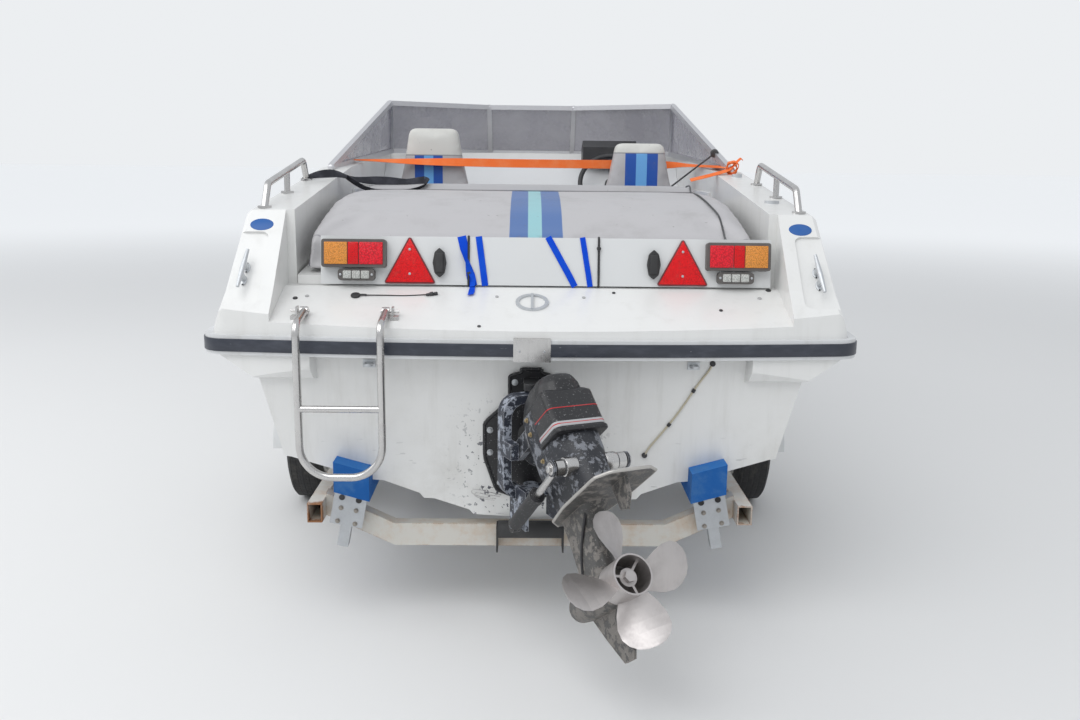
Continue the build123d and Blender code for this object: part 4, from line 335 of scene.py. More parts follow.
def hull_gelcoat():
    """Hull white with a dirt line, scuffs, and dark flecks round the stern drive."""
    paint = Paint("hull_gelcoat", WHITE, 0.32, coat_weight=0.2, coat_roughness=0.2)
    height = paint.axis("Z")
    across = paint.axis("X")
    forward = paint.along_boat()
    streaks = paint.noise(8, 4, 0.6, stretch=(2.5, 2.5, 0.12)).step(0.48, 0.8)
    low = height.step(0.75, 0.38)
    clouds = paint.noise(3, 6, 0.65).step(0.45, 0.8)
    film = streaks * 0.18 + clouds * 0.16 + low * clouds * 0.4
    near_drive = abs(across).step(0.32, 0.12) * forward.step(0.3, 0.2) * height.step(0.86, 0.6)
    flecks = paint.noise(55, 3, 0.6).step(0.60, 0.64) * near_drive
    scuffs = paint.noise(26, 3, 0.5, stretch=(0.5, 1, 2.5)).step(0.69, 0.72) * low
    colour = paint.mix(film, WHITE, GRIME)
    colour = paint.mix(scuffs * 0.6, colour, (0.13, 0.13, 0.14))
    colour = paint.mix(flecks, colour, (0.05, 0.055, 0.075))
    rough = paint.blend((film + flecks).least(1), 0.3, 0.65)
    return paint.finish(colour, rough, paint.noise(1.4, 2, 0.4), 0.006, 0.5)


wear(["hull", "transom_pods"], hull_gelcoat())
print("gelcoat on hull, deck and hatch lid")

# %% [markdown]
# ## Rub rail
# The rail is a white carrier with a wide black insert pressed into it. A white lip shows above
# the insert and a thin pale edge below. The carrier follows the sheer, so the mask can't be a plain
# height: the insert is a piece of its own, made later, and here the carrier gets its white.

# %% Carrier of the rub rail
wear(["rub_rail"], gelcoat("rail_carrier", (0.66, 0.67, 0.68), 0.5, rough=0.42))

# %% [markdown]
# ## Metals
# Bright stainless is almost a mirror with fine scratches. Cast alloy, anodised frames and zinc
# plate are duller, and zinc has the patchy bloom of its crystals.

# %% Metals
def bright_steel(name, colour, rough, scratches=0.12):
    paint = Paint(name, colour, rough, metallic=1.0)
    fine = paint.noise(220, 2, 0.5, stretch=(1, 1, 0.08))
    smears = paint.noise(14, 4, 0.6).step(0.35, 0.75)
    colour = paint.mix(smears * 0.35, colour, toned(colour, 0.72))
    return paint.finish(colour, fine * scratches + smears * 0.14 + rough, fine, 0.0003, 0.25)


def dull_metal(name, colour, rough, spread=0.28):
    paint = Paint(name, colour, rough, metallic=0.85)
    patches = paint.cells(26)
    grain = paint.noise(160, 3, 0.6)
    colour = paint.mix(patches * spread + grain * 0.2, colour, toned(colour, 0.6))
    return paint.finish(colour, grain * 0.2 + rough, grain, 0.0006, 0.3)


stainless = bright_steel("polished_stainless", (0.62, 0.61, 0.6), 0.16)
ground_steel = bright_steel("ground_stainless", (0.57, 0.54, 0.53), 0.36, scratches=0.2)
cast_alloy = dull_metal("cast_alloy", (0.64, 0.66, 0.68), 0.36, spread=0.12)
anodised = dull_metal("anodised_frame", (0.70, 0.70, 0.72), 0.38, spread=0.06)
zinc = dull_metal("zinc_plate", (0.58, 0.6, 0.62), 0.42)
wear(["rail_sleeve", "grab_handles", "boarding_ladder", "ladder_brackets", "trim_rods"], stainless)
wear(["propeller"], ground_steel)
wear(["cleats", "deck_fittings"], cast_alloy)
wear(["windscreen_frame"], anodised)
wear(["bunk_brackets"], zinc)
print("metals made")

# %% [markdown]
# ## Plastics, rubber and carpet
# Inside mouldings are matt and faintly pebbled. Rubber is nearly black with a grey bloom where
# dust sits in it. The cockpit's carpet is dark blue with a short upright pile.

# %% Plastics, rubber and carpet
def moulded(name, colour, rough, dust=0.15):
    paint = Paint(name, colour, rough)
    grain = paint.noise(420, 2, 0.5)
    bloom = paint.noise(6, 5, 0.6).step(0.4, 0.8)
    colour = paint.mix(bloom * dust * 3, colour, toned(colour, 0.7, 0.165))
    return paint.finish(colour, bloom * 0.2 + rough, grain, 0.0004, 0.4)


def carpet(name, colour, pile):
    paint = Paint(name, colour, 0.95, sheen_weight=0.4)
    tufts = paint.cells(420)
    worn = paint.noise(9, 4, 0.6).step(0.45, 0.75)
    pale = paint.mix(worn * 0.6, colour, toned(colour, 0.6, 0.12))
    # Painted shade: the pile is made darker between its tufts, where its bump is low.
    return paint.finish(paint.mix(tufts, pale, toned(colour, 0.45)), 0.95, 1 - tufts, pile, 0.8)


lining = moulded("inner_moulding", (0.70, 0.71, 0.72), 0.5)
black_plastic = moulded("black_plastic", (0.025, 0.025, 0.028), 0.42, dust=0.06)
black_rubber = moulded("black_rubber", (0.03, 0.03, 0.031), 0.62, dust=0.1)
white_plastic = moulded("white_plastic", (0.72, 0.73, 0.73), 0.4, dust=0.1)
cockpit_carpet = carpet("cockpit_carpet", (0.055, 0.10, 0.20), 0.003)
wear(["side_linings", "dashboard", "seat_bases"], lining)
wear(["helm_console", "steering_wheel"], black_plastic)
wear(["drive_bellows", "keel_rollers", "jockey_wheel"], black_rubber)
wear(["light_board", "mudguards"], white_plastic)
wear(["cockpit_sole"], cockpit_carpet)

# %% [markdown]
# ## Smoked screen
# The screen is smoked acrylic, hazed by years outside. It lets light through but greys what is
# behind it, and its faces show fine crazing.

# %% Smoked screen
def smoked_acrylic():
    paint = Paint("smoked_acrylic", (0.33, 0.32, 0.37), 0.22)
    haze = paint.noise(7, 5, 0.65).step(0.35, 0.75)
    paint.set("Alpha", haze * 0.16 + 0.60)
    colour = paint.mix(haze * 0.6, (0.30, 0.29, 0.34), (0.52, 0.51, 0.56))
    return paint.finish(colour, haze * 0.25 + 0.16, paint.noise(60, 2, 0.5), 0.0004, 0.3)


wear(["windscreen_glass"], smoked_acrylic())

# %% [markdown]
# ## Paint on metal
# Drive castings are black paint over primer over aluminium. Salt lifts the paint, so pale metal,
# grey primer and dark paint lie side by side in flakes. The trailer is white paint over steel,
# brown where water stands at its bends and ends.

# %% Painted metal
def flaking(name, top, under, bare, amount, scale=28.0, rough=0.45):
    """Top coat that has flaked off to an under coat, and that to bare metal."""
    paint = Paint(name, top, rough)
    broad = paint.noise(5, 4, 0.6)
    flakes = paint.noise(scale, 6, 0.68)
    worn = paint.edge_wear(0.006)
    lost = (flakes + broad * 0.35 + worn * 0.28).step(1.02 - amount, 1.06 - amount)
    gone = (paint.noise(scale * 1.7, 5, 0.65) + worn * 0.3).step(0.66, 0.72) * lost
    colour = paint.mix(lost, top, under)
    colour = paint.mix(gone, colour, bare)
    speckle = paint.noise(190, 2, 0.5).step(0.64, 0.72)
    colour = paint.mix(speckle * 0.5, colour, toned(under, 0.5, 0.3))
    paint.set("Metallic", gone * 0.8)
    return paint.finish(colour, lost * 0.22 + rough, 1 - lost, 0.0012, 0.7)


RAIL_END = (0.078, 0.135)


def rusting(name, top, amount, rough=0.45):
    """Paint on steel with brown rust that spreads from edges, and most at the rails' aft ends."""
    paint = Paint(name, top, rough)
    patches = paint.noise(11, 7, 0.7)
    fine = paint.noise(70, 4, 0.6)
    worn = paint.edge_wear(0.008)
    end = 1 - paint.along_boat().step(*RAIL_END)
    bloom = (patches + worn * 0.22 + fine * 0.12 + end * 0.20).step(0.86 - amount, 0.98 - amount)
    stain = (patches + fine * 0.1).step(0.62 - amount, 0.9 - amount)
    rust = paint.mix(fine, (0.20, 0.085, 0.035), (0.40, 0.20, 0.10))
    colour = paint.mix(stain * 0.6, top, (0.56, 0.41, 0.28))
    colour = paint.mix(bloom, colour, rust)
    return paint.finish(colour, bloom * 0.4 + rough, bloom * fine, 0.0015, 0.7)


FLAKING = {
    # name: top coat, under coat, bare metal, how much is lost, and the flakes' scale or gloss
    "drive_black": ((0.022, 0.024, 0.03), (0.20, 0.21, 0.235), (0.50, 0.50, 0.51), 0.34, {}),
    "drive_leg": ((0.075, 0.073, 0.07), (0.20, 0.185, 0.17), (0.42, 0.39, 0.36), 0.36, {"scale": 34}),
    "bell_paint": ((0.03, 0.035, 0.05), (0.36, 0.39, 0.45), (0.60, 0.61, 0.64), 0.33, {"scale": 34}),
    "cover_black": ((0.018, 0.018, 0.02), (0.09, 0.09, 0.10), (0.3, 0.3, 0.3), 0.10, {"rough": 0.38}),
    "ram_black": ((0.02, 0.02, 0.022), (0.10, 0.10, 0.11), (0.4, 0.4, 0.4), 0.12, {}),
    "block_paint": ((0.03, 0.03, 0.033), (0.09, 0.09, 0.09), (0.3, 0.3, 0.3), 0.05, {}),
}
painted = {name: flaking(name, *row, **extra) for name, (*row, extra) in FLAKING.items()}
cover_black = painted["cover_black"]
wear(["drive_upper"], painted["drive_black"])
wear(["drive_lower"], painted["drive_leg"])
wear(["gimbal_ring"], painted["bell_paint"])
wear(["drive_cover", "transom_shield"], cover_black)
wear(["trim_cylinders"], painted["ram_black"])
wear(["engine"], painted["block_paint"])
rails = ["trailer_rails", "trailer_cross_members", "trailer_drawbar", "trailer_a_frame"]
wear(rails, rusting("trailer_white", (0.64, 0.62, 0.57), 0.17))
wear(["axle"], rusting("trailer_grey", (0.34, 0.34, 0.34), 0.10))
wear(["winch_post", "winch"], rusting("post_paint", (0.60, 0.60, 0.58), 0.06))
wear(["rim_port", "rim_starboard"], rusting("rim_white", (0.66, 0.66, 0.64), 0.04))
wear(["coupling", "jockey_tube", "jockey_stem", "jockey_fork"], zinc)
print("paint on metal made")

# %% [markdown]
# ## Tools for new pieces
# Small parts start as a primitive and are shaped in edit mode, as by hand. A few helpers do what
# every piece needs: a bevelled block, a turned disc, a bent tube and a flat strap. Each helper ends
# with the object at the origin and its place in its mesh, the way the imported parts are.

# %% Tools for new pieces
made_count = 0


def only(piece):
    """Makes one object the selected and active one."""
    bpy.ops.object.select_all(action="DESELECT")
    piece.select_set(True)
    bpy.context.view_layer.objects.active = piece


def settle(piece, matrix=None):
    """Moves an object's place into its mesh, after an optional move by a matrix."""
    only(piece)
    if matrix is not None:
        piece.matrix_world = matrix @ piece.matrix_world
    bpy.ops.object.transform_apply(location=True, rotation=True, scale=True)
    return piece


def modify(piece, kind, **settings):
    """Adds a modifier and applies it at once."""
    only(piece)
    modifier = piece.modifiers.new(kind.lower(), kind)
    for key, value in settings.items():
        setattr(modifier, key, value)
    bpy.ops.object.modifier_apply(modifier=modifier.name)


def edit_all(piece):
    only(piece)
    bpy.ops.object.mode_set(mode="EDIT")
    bpy.ops.mesh.select_all(action="SELECT")


def block(name, low, high, bevel=0.002, segments=2, matrix=None):
    """A block between two corners with its edges rounded."""
    low, high = Vector(low), Vector(high)
    bpy.ops.mesh.primitive_cube_add(size=1, location=(low + high) / 2)
    piece = bpy.context.object
    piece.name = name
    piece.scale = high - low
    settle(piece)
    edit_all(piece)
    bpy.ops.mesh.bevel(offset=bevel, segments=segments, affect="EDGES")
    bpy.ops.object.mode_set(mode="OBJECT")
    return settle(piece, matrix)


def disc(name, centre, axis, radius, length, sides=20, bevel=0.001, matrix=None):
    """A turned disc or short rod with rounded rims."""
    turn = Vector(axis).to_track_quat("Z", "Y").to_euler()
    bpy.ops.mesh.primitive_cylinder_add(
        vertices=sides, radius=radius, depth=length, location=Vector(centre), rotation=turn
    )
    piece = bpy.context.object
    piece.name = name
    settle(piece)
    bpy.ops.object.mode_set(mode="EDIT")
    bpy.ops.mesh.select_all(action="DESELECT")
    bpy.ops.mesh.edges_select_sharp(sharpness=math.radians(60))
    bpy.ops.mesh.bevel(offset=bevel, segments=2, affect="EDGES")
    bpy.ops.object.mode_set(mode="OBJECT")
    return settle(piece, matrix)


def round_line(name, points, radius, order=3, sides=3, between=6):
    """A curve with a round section through control points."""
    data = bpy.data.curves.new(name, "CURVE")
    data.dimensions = "3D"
    data.bevel_depth = radius
    data.bevel_resolution = sides
    data.use_fill_caps = True
    data.resolution_u = between
    spline = data.splines.new("NURBS")
    spline.points.add(len(points) - 1)
    for point, place in zip(spline.points, points):
        point.co = (*place, 1)
    spline.order_u = order
    spline.use_endpoint_u = True
    piece = bpy.data.objects.new(name, data)
    bpy.context.scene.collection.objects.link(piece)
    return piece


def tube(name, points, radius, order=3, sides=3):
    """A round line made a mesh."""
    only(round_line(name, points, radius, order, sides))
    bpy.ops.object.convert(target="MESH")
    return bpy.context.object


def strap(name, points, across, width, thickness, levels=1):
    """A flat band whose end edge is extruded from place to place. It can be twisted on its way,
    where across is a list of directions, one for each point."""
    points = [Vector(p) for p in points]
    ways = [Vector(w) for w in across] if isinstance(across, list) else [Vector(across)] * len(points)
    bpy.ops.mesh.primitive_plane_add(size=1)
    piece = bpy.context.object
    piece.name = name
    for vertex in piece.data.vertices:
        vertex.select = vertex.index > 1
    for edge in piece.data.edges:
        edge.select = min(edge.vertices) > 1
    for polygon in piece.data.polygons:
        polygon.select = False
    bpy.ops.object.mode_set(mode="EDIT")
    bpy.ops.mesh.select_mode(type="EDGE")
    for here, there in zip(points[1:], points[2:]):
        bpy.ops.mesh.extrude_region_move(TRANSFORM_OT_translate={"value": there - here})
    bpy.ops.object.mode_set(mode="OBJECT")
    for number, (place, way) in enumerate(zip(points, ways)):
        half = way.normalized() * (width / 2)
        piece.data.vertices[2 * number].co = place - half
        piece.data.vertices[2 * number + 1].co = place + half
    if levels:
        modify(piece, "SUBSURF", levels=levels, render_levels=levels, boundary_smooth="PRESERVE_CORNERS")
    modify(piece, "SOLIDIFY", thickness=thickness, offset=0)
    edit_all(piece)
    bpy.ops.mesh.normals_make_consistent(inside=False)
    bpy.ops.object.mode_set(mode="OBJECT")
    return piece


def joined(name, pieces):
    """Several small pieces as one object."""
    bpy.ops.object.select_all(action="DESELECT")
    for piece in pieces:
        piece.select_set(True)
    bpy.context.view_layer.objects.active = pieces[0]
    if len(pieces) > 1:
        bpy.ops.object.join()
    pieces[0].name = name
    return pieces[0]


def fit(piece, body, material, slot, *replaced, smooth=35):
    """Finishes a piece: shading, material, the body it rides on, and the node it stands for."""
    global made_count
    only(piece)
    if smooth:
        bpy.ops.object.shade_smooth_by_angle(angle=math.radians(smooth))
    wear(piece, material)
    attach(piece, body)
    if replaced:
        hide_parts(*replaced)
    made_count += 1
    piece.select_set(False)
    return piece


def copy_of(node, name):
    """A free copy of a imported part's mesh, with its loose triangles merged."""
    piece = bpy.data.objects.new(name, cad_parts[node].data.copy())
    bpy.context.scene.collection.objects.link(piece)
    edit_all(piece)
    bpy.ops.mesh.remove_doubles(threshold=0.00005)
    bpy.ops.mesh.tris_convert_to_quads(face_threshold=0.02, shape_threshold=0.6)
    bpy.ops.object.mode_set(mode="OBJECT")
    return piece


def select_faces(piece, wanted):
    """Selects the faces that a test on the polygon picks, and stays in edit mode."""
    only(piece)
    bpy.ops.object.mode_set(mode="EDIT")
    bpy.ops.mesh.select_mode(type="FACE")
    bpy.ops.mesh.select_all(action="DESELECT")
    bpy.ops.object.mode_set(mode="OBJECT")
    for polygon in piece.data.polygons:
        polygon.select = wanted(polygon)
    bpy.ops.object.mode_set(mode="EDIT")


# %% [markdown]
# ## Cushions
# The sunbed and the seats are foam in vinyl covers. A cover is cut a little small and the foam
# pushes it out, so each face crowns and the edges pull in. A copy of the plain solid is drawn in,
# remeshed finely, and blown up a little as cloth with pressure. Its underside is pinned, so it
# stays flat where it rests, and no point may move far.

# %% Cushions
CLOTH = {
    "quality": 4,
    "mass": 0.4,
    "tension_stiffness": 12,
    "compression_stiffness": 12,
    "bending_stiffness": 6,
    "use_pressure": True,
}
CLOTH_FRAMES = 20
CUSHION_PRESSURE = 4.0


def swell(piece, cap, pressure, pinned):
    """Blows a closed mesh up as cloth, and holds each point within a cap of its start."""
    group = piece.vertex_groups.new(name="pinned")
    for vertex in piece.data.vertices:
        if pinned(vertex):
            group.add([vertex.index], 1.0, "REPLACE")
    start = [vertex.co.copy() for vertex in piece.data.vertices]
    cloth = piece.modifiers.new("cover", "CLOTH")
    for key, value in CLOTH.items():
        setattr(cloth.settings, key, value)
    cloth.settings.uniform_pressure_force = pressure
    cloth.settings.vertex_group_mass = "pinned"
    cloth.settings.effector_weights.gravity = 0
    for frame_number in range(1, CLOTH_FRAMES + 1):
        bpy.context.scene.frame_set(frame_number)
    seen = piece.evaluated_get(bpy.context.evaluated_depsgraph_get())
    moved = [vertex.co.copy() for vertex in seen.data.vertices]
    piece.modifiers.remove(cloth)
    bpy.context.scene.frame_set(1)
    for vertex, before, after in zip(piece.data.vertices, start, moved):
        step = after - before
        if step.length > cap:
            step = step.normalized() * cap
        vertex.co = before + step


def cushion(name, node, body, material, voxel, tuck, cap):
    """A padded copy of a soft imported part."""
    piece = copy_of(node, name)
    edit_all(piece)
    bpy.ops.mesh.normals_make_consistent(inside=False)
    bpy.ops.transform.shrink_fatten(value=-tuck, use_even_offset=True)
    bpy.ops.object.mode_set(mode="OBJECT")
    modify(piece, "REMESH", mode="VOXEL", voxel_size=voxel)
    swell(piece, cap, CUSHION_PRESSURE, lambda vertex: vertex.normal.z < -0.6)
    modify(piece, "SMOOTH", factor=0.5, iterations=6)
    modify(piece, "SUBSURF", levels=1, render_levels=1)
    fit(piece, body, material, "grey_vinyl", node, smooth=0)
    only(piece)
    bpy.ops.object.shade_smooth()
    print(name, len(piece.data.polygons), "faces")


VINYL_GREY = (0.50, 0.49, 0.50)
VINYL_CREAM = (0.66, 0.655, 0.62)
STRIPE_DARK = (0.008, 0.085, 0.42)
STRIPE_LIGHT = (0.15, 0.42, 0.80)


def vinyl(name, colour):
    """Marine vinyl with its fine grain, soft creases and grey weathering."""
    paint = Paint(name, colour, 0.5, coat_weight=0.06, coat_roughness=0.4)
    grain = paint.cells(900)
    creases = paint.noise(7, 3, 0.5, stretch=(0.35, 1.3, 1.0))
    grime = paint.noise(5, 6, 0.7).step(0.46, 0.82)
    specks = paint.noise(60, 2, 0.5).step(0.735, 0.76)
    paint.film = grime * 0.28 + specks * 0.5
    paint.grain = creases * 0.6 + grain * 0.03
    return paint


def striped(paint, base, edges, dark, light):
    """Three stripes side by side, dark, light and dark, between four places across the boat."""
    across = paint.axis("X")
    a, b, c, d = edges
    outer = across.band(a, d, 0.0012)
    inner = across.band(b, c, 0.0012)
    return paint.mix(inner, paint.mix(outer, base, dark), light), outer


def finish_vinyl(paint, colour, seams=None):
    """Dirt over the colour, and seams, where there are any, as dark grooves."""
    dirty = paint.mix(paint.film, colour, (0.20, 0.19, 0.175))
    height = paint.grain
    if seams is not None:
        dirty = paint.mix(seams * 0.85, dirty, (0.05, 0.055, 0.08))
        height = height - seams * 0.5
    return paint.finish(dirty, paint.film * 0.25 + 0.46, height, 0.004, 0.55)


PAD_STRIPES = (-0.082, -0.016, 0.034, 0.108)
pad_low, pad_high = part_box("sunbed_pad")
PAD_NOSE_BACK = 0.040
PIPING_INSET = 0.030


def sunbed_vinyl():
    """Grey vinyl with the faded stripe block, worn brown at the nose, and dark piping lines."""
    paint = vinyl("sunbed_vinyl", VINYL_GREY)
    forward = paint.axis("Y")
    nose = forward.step(pad_low.y + PAD_NOSE_BACK + 0.002, pad_low.y + PAD_NOSE_BACK)
    faded = paint.mix(nose, (0.085, 0.17, 0.40), (0.02, 0.19, 0.47))
    pale = paint.mix(nose, (0.30, 0.56, 0.60), (0.22, 0.55, 0.58))
    colour, stripes = striped(paint, VINYL_GREY, PAD_STRIPES, faded, pale)
    worn = paint.noise(30, 5, 0.7).step(0.50, 0.60) * stripes
    worn = worn * forward.step(pad_low.y + 0.075, pad_low.y + 0.02)
    colour = paint.mix(worn * 0.8, colour, (0.20, 0.15, 0.09))
    half = pad_high.x - PIPING_INSET
    side_line = abs(paint.axis("X")).band(half, half + 0.005, 0.001)
    nose_line = forward.band(pad_low.y + PAD_NOSE_BACK, pad_low.y + PAD_NOSE_BACK + 0.004, 0.001)
    seams = side_line.most(nose_line * 0.5)
    return finish_vinyl(paint, colour, seams)


sunbed = sunbed_vinyl()
bolster_vinyl = finish_vinyl(vinyl("bolster_vinyl", VINYL_GREY), (0.43, 0.425, 0.435))
cushion("sunbed_cover", "sunbed_pad", "hatch", sunbed, 0.016, tuck=0.012, cap=0.020)
cushion("bolster_cover", "sunbed_bolster", "hatch", bolster_vinyl, 0.009, tuck=0.004, cap=0.010)

# %% [markdown]
# ## Seats
# Each back-to-back seat has a grey cover with blue stripes below a plain cream head. The change is
# sewn in at one height on each seat, and the cream stands a little proud of the grey.

# %% Seats
SEAT_HEADS = (1.597, 1.618)
SEAT_STRIPES = ((-0.577, -0.531, -0.485, -0.439), (0.463, 0.517, 0.571, 0.625))


def seat_vinyl():
    paint = vinyl("seat_vinyl", VINYL_GREY)
    height = paint.axis("Z")
    starboard = paint.axis("X").step(-0.001, 0.001)
    head_z = paint.blend(starboard, *SEAT_HEADS)
    above = (height - head_z).step(-0.001, 0.001)
    colour = VINYL_GREY
    for edges in SEAT_STRIPES:
        colour, _ = striped(paint, colour, edges, STRIPE_DARK, STRIPE_LIGHT)
    colour = paint.mix(above, colour, VINYL_CREAM)
    seam = (height - head_z).band(-0.003, 0.003, 0.0012)
    return finish_vinyl(paint, colour, seam * 0.6)


seats = seat_vinyl()
cushion("seat_back_covers", "seat_backs", "boat", seats, 0.010, tuck=0.010, cap=0.018)
cushion("seat_cushion_covers", "seat_cushions", "boat", seats, 0.012, tuck=0.008, cap=0.014)

# %% [markdown]
# ## Rail insert
# A wide black strip is pressed into the rail all the way round. The faces of the rail's own outer
# side are copied, inset to the strip's width, and thickened, so the strip follows the sheer.

# %% Rail insert
RAIL_EDGE = 0.011
RAIL_PROUD = 0.004
RAIL_ROUNDING = 0.0018
RAIL_BLACK = (0.035, 0.04, 0.055)


def outer_side(polygon):
    """True for the upright faces of the rail that look away from the boat."""
    if abs(polygon.normal.z) > 0.5:
        return False
    centre = polygon.center
    middle_y = min(max(centre.y, stern_y + 0.35), stern_y + 4.2)
    return polygon.normal.dot(Vector((centre.x, centre.y - middle_y, 0))) > 0.005


insert = copy_of("rub_rail", "rail_insert")
select_faces(insert, outer_side)
bpy.ops.mesh.inset(thickness=RAIL_EDGE, use_boundary=True, use_even_offset=True)
bpy.ops.mesh.select_all(action="INVERT")
bpy.ops.mesh.delete(type="FACE")
bpy.ops.object.mode_set(mode="OBJECT")
modify(insert, "SOLIDIFY", thickness=RAIL_PROUD, offset=1)
modify(insert, "BEVEL", width=RAIL_ROUNDING, segments=2, limit_method="ANGLE")


def insert_black():
    """Black strip with chalky scuffs where fenders and posts have rubbed it."""
    paint = Paint("rail_black", RAIL_BLACK, 0.34)
    bloom = paint.noise(12, 5, 0.6, stretch=(1, 1, 3)).step(0.42, 0.8)
    scuffs = paint.noise(45, 4, 0.7, stretch=(0.4, 0.4, 2)).step(0.66, 0.70)
    colour = paint.mix(bloom * 0.35, RAIL_BLACK, (0.12, 0.13, 0.16))
    colour = paint.mix(scuffs * 0.5, colour, (0.40, 0.41, 0.43))
    return paint.finish(colour, bloom * 0.25 + 0.30, paint.noise(60, 3, 0.5), 0.0006, 0.4)


fit(insert, "boat", insert_black(), "rail", smooth=30)
print("rail insert", len(insert.data.polygons), "faces")

# %% [markdown]
# ## Light board
# A board with the road lamps is tied on behind the pad. Everything on it is placed in the board's
# own frame: x across, z up the board, y forward, and the aft face at y = 0. Each lamp housing gets
# its lenses by distance from the board's middle, so one table serves both sides.

# %% Light board
BOARD_PLACE = (0.049, 0.303, 1.152)
BOARD_LEAN = math.radians(8)
BOARD_HEIGHT = 0.166
BOARD_THICKNESS = 0.009
board_frame = Matrix.Translation(boat(*BOARD_PLACE)) @ Matrix.Rotation(-BOARD_LEAN, 4, "X")


def lens(name, colour, pattern_scale, depth=0.8):
    """Ribbed or studded coloured plastic with a clear shine, and painted shade between its studs."""
    paint = Paint(name, colour, 0.16, specular_ior_level=0.3, coat_weight=0.2, coat_roughness=0.08)
    studs = paint.cells(pattern_scale)
    dirt = paint.noise(40, 4, 0.6).step(0.5, 0.8)
    # Painted shade: the lens is made darker between its studs.
    stud_shaded = paint.mix(studs.step(0.25, 0.75), colour, toned(colour, 0.6))
    colour = paint.mix(dirt * 0.15, stud_shaded, (0.25, 0.16, 0.12))
    return paint.finish(colour, 0.16, 1 - studs, 0.0015, depth)


lens_amber = lens("lens_amber", (0.88, 0.34, 0.06), 300)
lens_red = lens("lens_red", (0.80, 0.003, 0.008), 420, depth=0.3)
lens_studs = lens("lens_studs", (0.86, 0.012, 0.03), 190)
lens_clear = lens("lens_clear", (0.62, 0.63, 0.60), 260)
reflector_red = lens("reflector_red", (0.90, 0.001, 0.006), 330, depth=0.4)
housing_grey = moulded("housing_grey", (0.10, 0.09, 0.085), 0.45, dust=0.12)
border_red = moulded("border_red", (0.16, 0.012, 0.016), 0.4)
wear(["rear_lamps"], housing_grey)
wear(["warning_triangles"], border_red)

LENS_HEIGHTS = (0.067, 0.143)
LENS_FACES = (-0.043, -0.036)
LENSES = [
    # name, inner and outer distance from the board's middle, material
    ("stud_lens", 0.561, 0.642, lens_studs),
    ("plain_lens", 0.644, 0.680, lens_red),
    ("amber_lens", 0.682, 0.761, lens_amber),
]
NUMBER_LAMP_X = 0.653
NUMBER_LAMP_Z = 0.032
NUMBER_LAMP_FACE = -0.032
NUMBER_CELLS = (-0.031, 0.0, 0.031)
NUMBER_SCREWS = (-0.054, 0.054)
TRIANGLE_X = 0.472
TRIANGLE_BASE = 0.003
TRIANGLE_WIDTH = 0.182
TRIANGLE_HEIGHT = 0.166
TRIANGLE_FACE = -0.008
TRIANGLE_SCREWS = (0.037, 0.121)
BORDER = 0.907
CLAMP_XS = (-0.369, 0.371)
CLAMP_SIZE = (0.045, 0.022, 0.098)
CLAMP_Z = 0.076


def sides(text, x):
    """Port and starboard: a name and a place for each."""
    return ((text + "_port", -x), (text + "_starboard", x))


for name, near, far, material in LENSES:
    for full_name, x in sides(name, (near + far) / 2):
        half = (far - near) / 2
        low = (x - half, LENS_FACES[0], LENS_HEIGHTS[0])
        high = (x + half, LENS_FACES[1], LENS_HEIGHTS[1])
        fit(block(full_name, low, high, 0.0025, 3, board_frame), "hatch", material, "lamp_lens")


def number_lamp(full_name, x):
    """Clear lens in three cells between two screws."""
    cells = []
    for offset in NUMBER_CELLS:
        low = (x + offset - 0.0145, NUMBER_LAMP_FACE - 0.006, NUMBER_LAMP_Z - 0.014)
        high = (x + offset + 0.0145, NUMBER_LAMP_FACE + 0.002, NUMBER_LAMP_Z + 0.014)
        cells.append(block(full_name, low, high, 0.004, 3, board_frame))
    fit(joined(full_name, cells), "hatch", lens_clear, "lamp_lens")
    screws = []
    for offset in NUMBER_SCREWS:
        centre = (x + offset, NUMBER_LAMP_FACE - 0.001, NUMBER_LAMP_Z)
        screws.append(disc(full_name + "_screws", centre, (0, 1, 0), 0.0042, 0.004, 14, 0.0008, board_frame))
    fit(joined(full_name + "_screws", screws), "hatch", zinc, "stainless")


def reflector(full_name, x):
    """The red face of a warning triangle, inside its dark border, with two screws."""
    height = TRIANGLE_HEIGHT * BORDER
    middle_z = TRIANGLE_BASE + TRIANGLE_HEIGHT * (1 - BORDER) * 0.36 + height / 3
    bpy.ops.mesh.primitive_cylinder_add(vertices=3, radius=1, depth=1, location=(0, 0, 0))
    piece = bpy.context.object
    piece.rotation_euler = (math.pi / 2, 0, 0)
    settle(piece)
    across = max(v.co.x for v in piece.data.vertices) - min(v.co.x for v in piece.data.vertices)
    tall = max(v.co.z for v in piece.data.vertices) - min(v.co.z for v in piece.data.vertices)
    flip = -1 if max(v.co.z for v in piece.data.vertices) < 0.9 else 1
    piece.scale = (TRIANGLE_WIDTH * BORDER / across, 0.004, flip * height / tall)
    piece.location = (x, TRIANGLE_FACE - 0.0005, middle_z)
    settle(piece)
    edit_all(piece)
    bpy.ops.mesh.normals_make_consistent(inside=False)
    bpy.ops.mesh.bevel(offset=0.0012, segments=2, affect="EDGES")
    bpy.ops.object.mode_set(mode="OBJECT")
    settle(piece, board_frame)
    piece.name = full_name
    fit(piece, "hatch", reflector_red, "red_reflector")
    screws = []
    for z in TRIANGLE_SCREWS:
        centre = (x, TRIANGLE_FACE - 0.003, z)
        screws.append(disc(full_name + "_screws", centre, (0, 1, 0), 0.0045, 0.004, 14, 0.0008, board_frame))
    fit(joined(full_name + "_screws", screws), "hatch", zinc, "stainless")


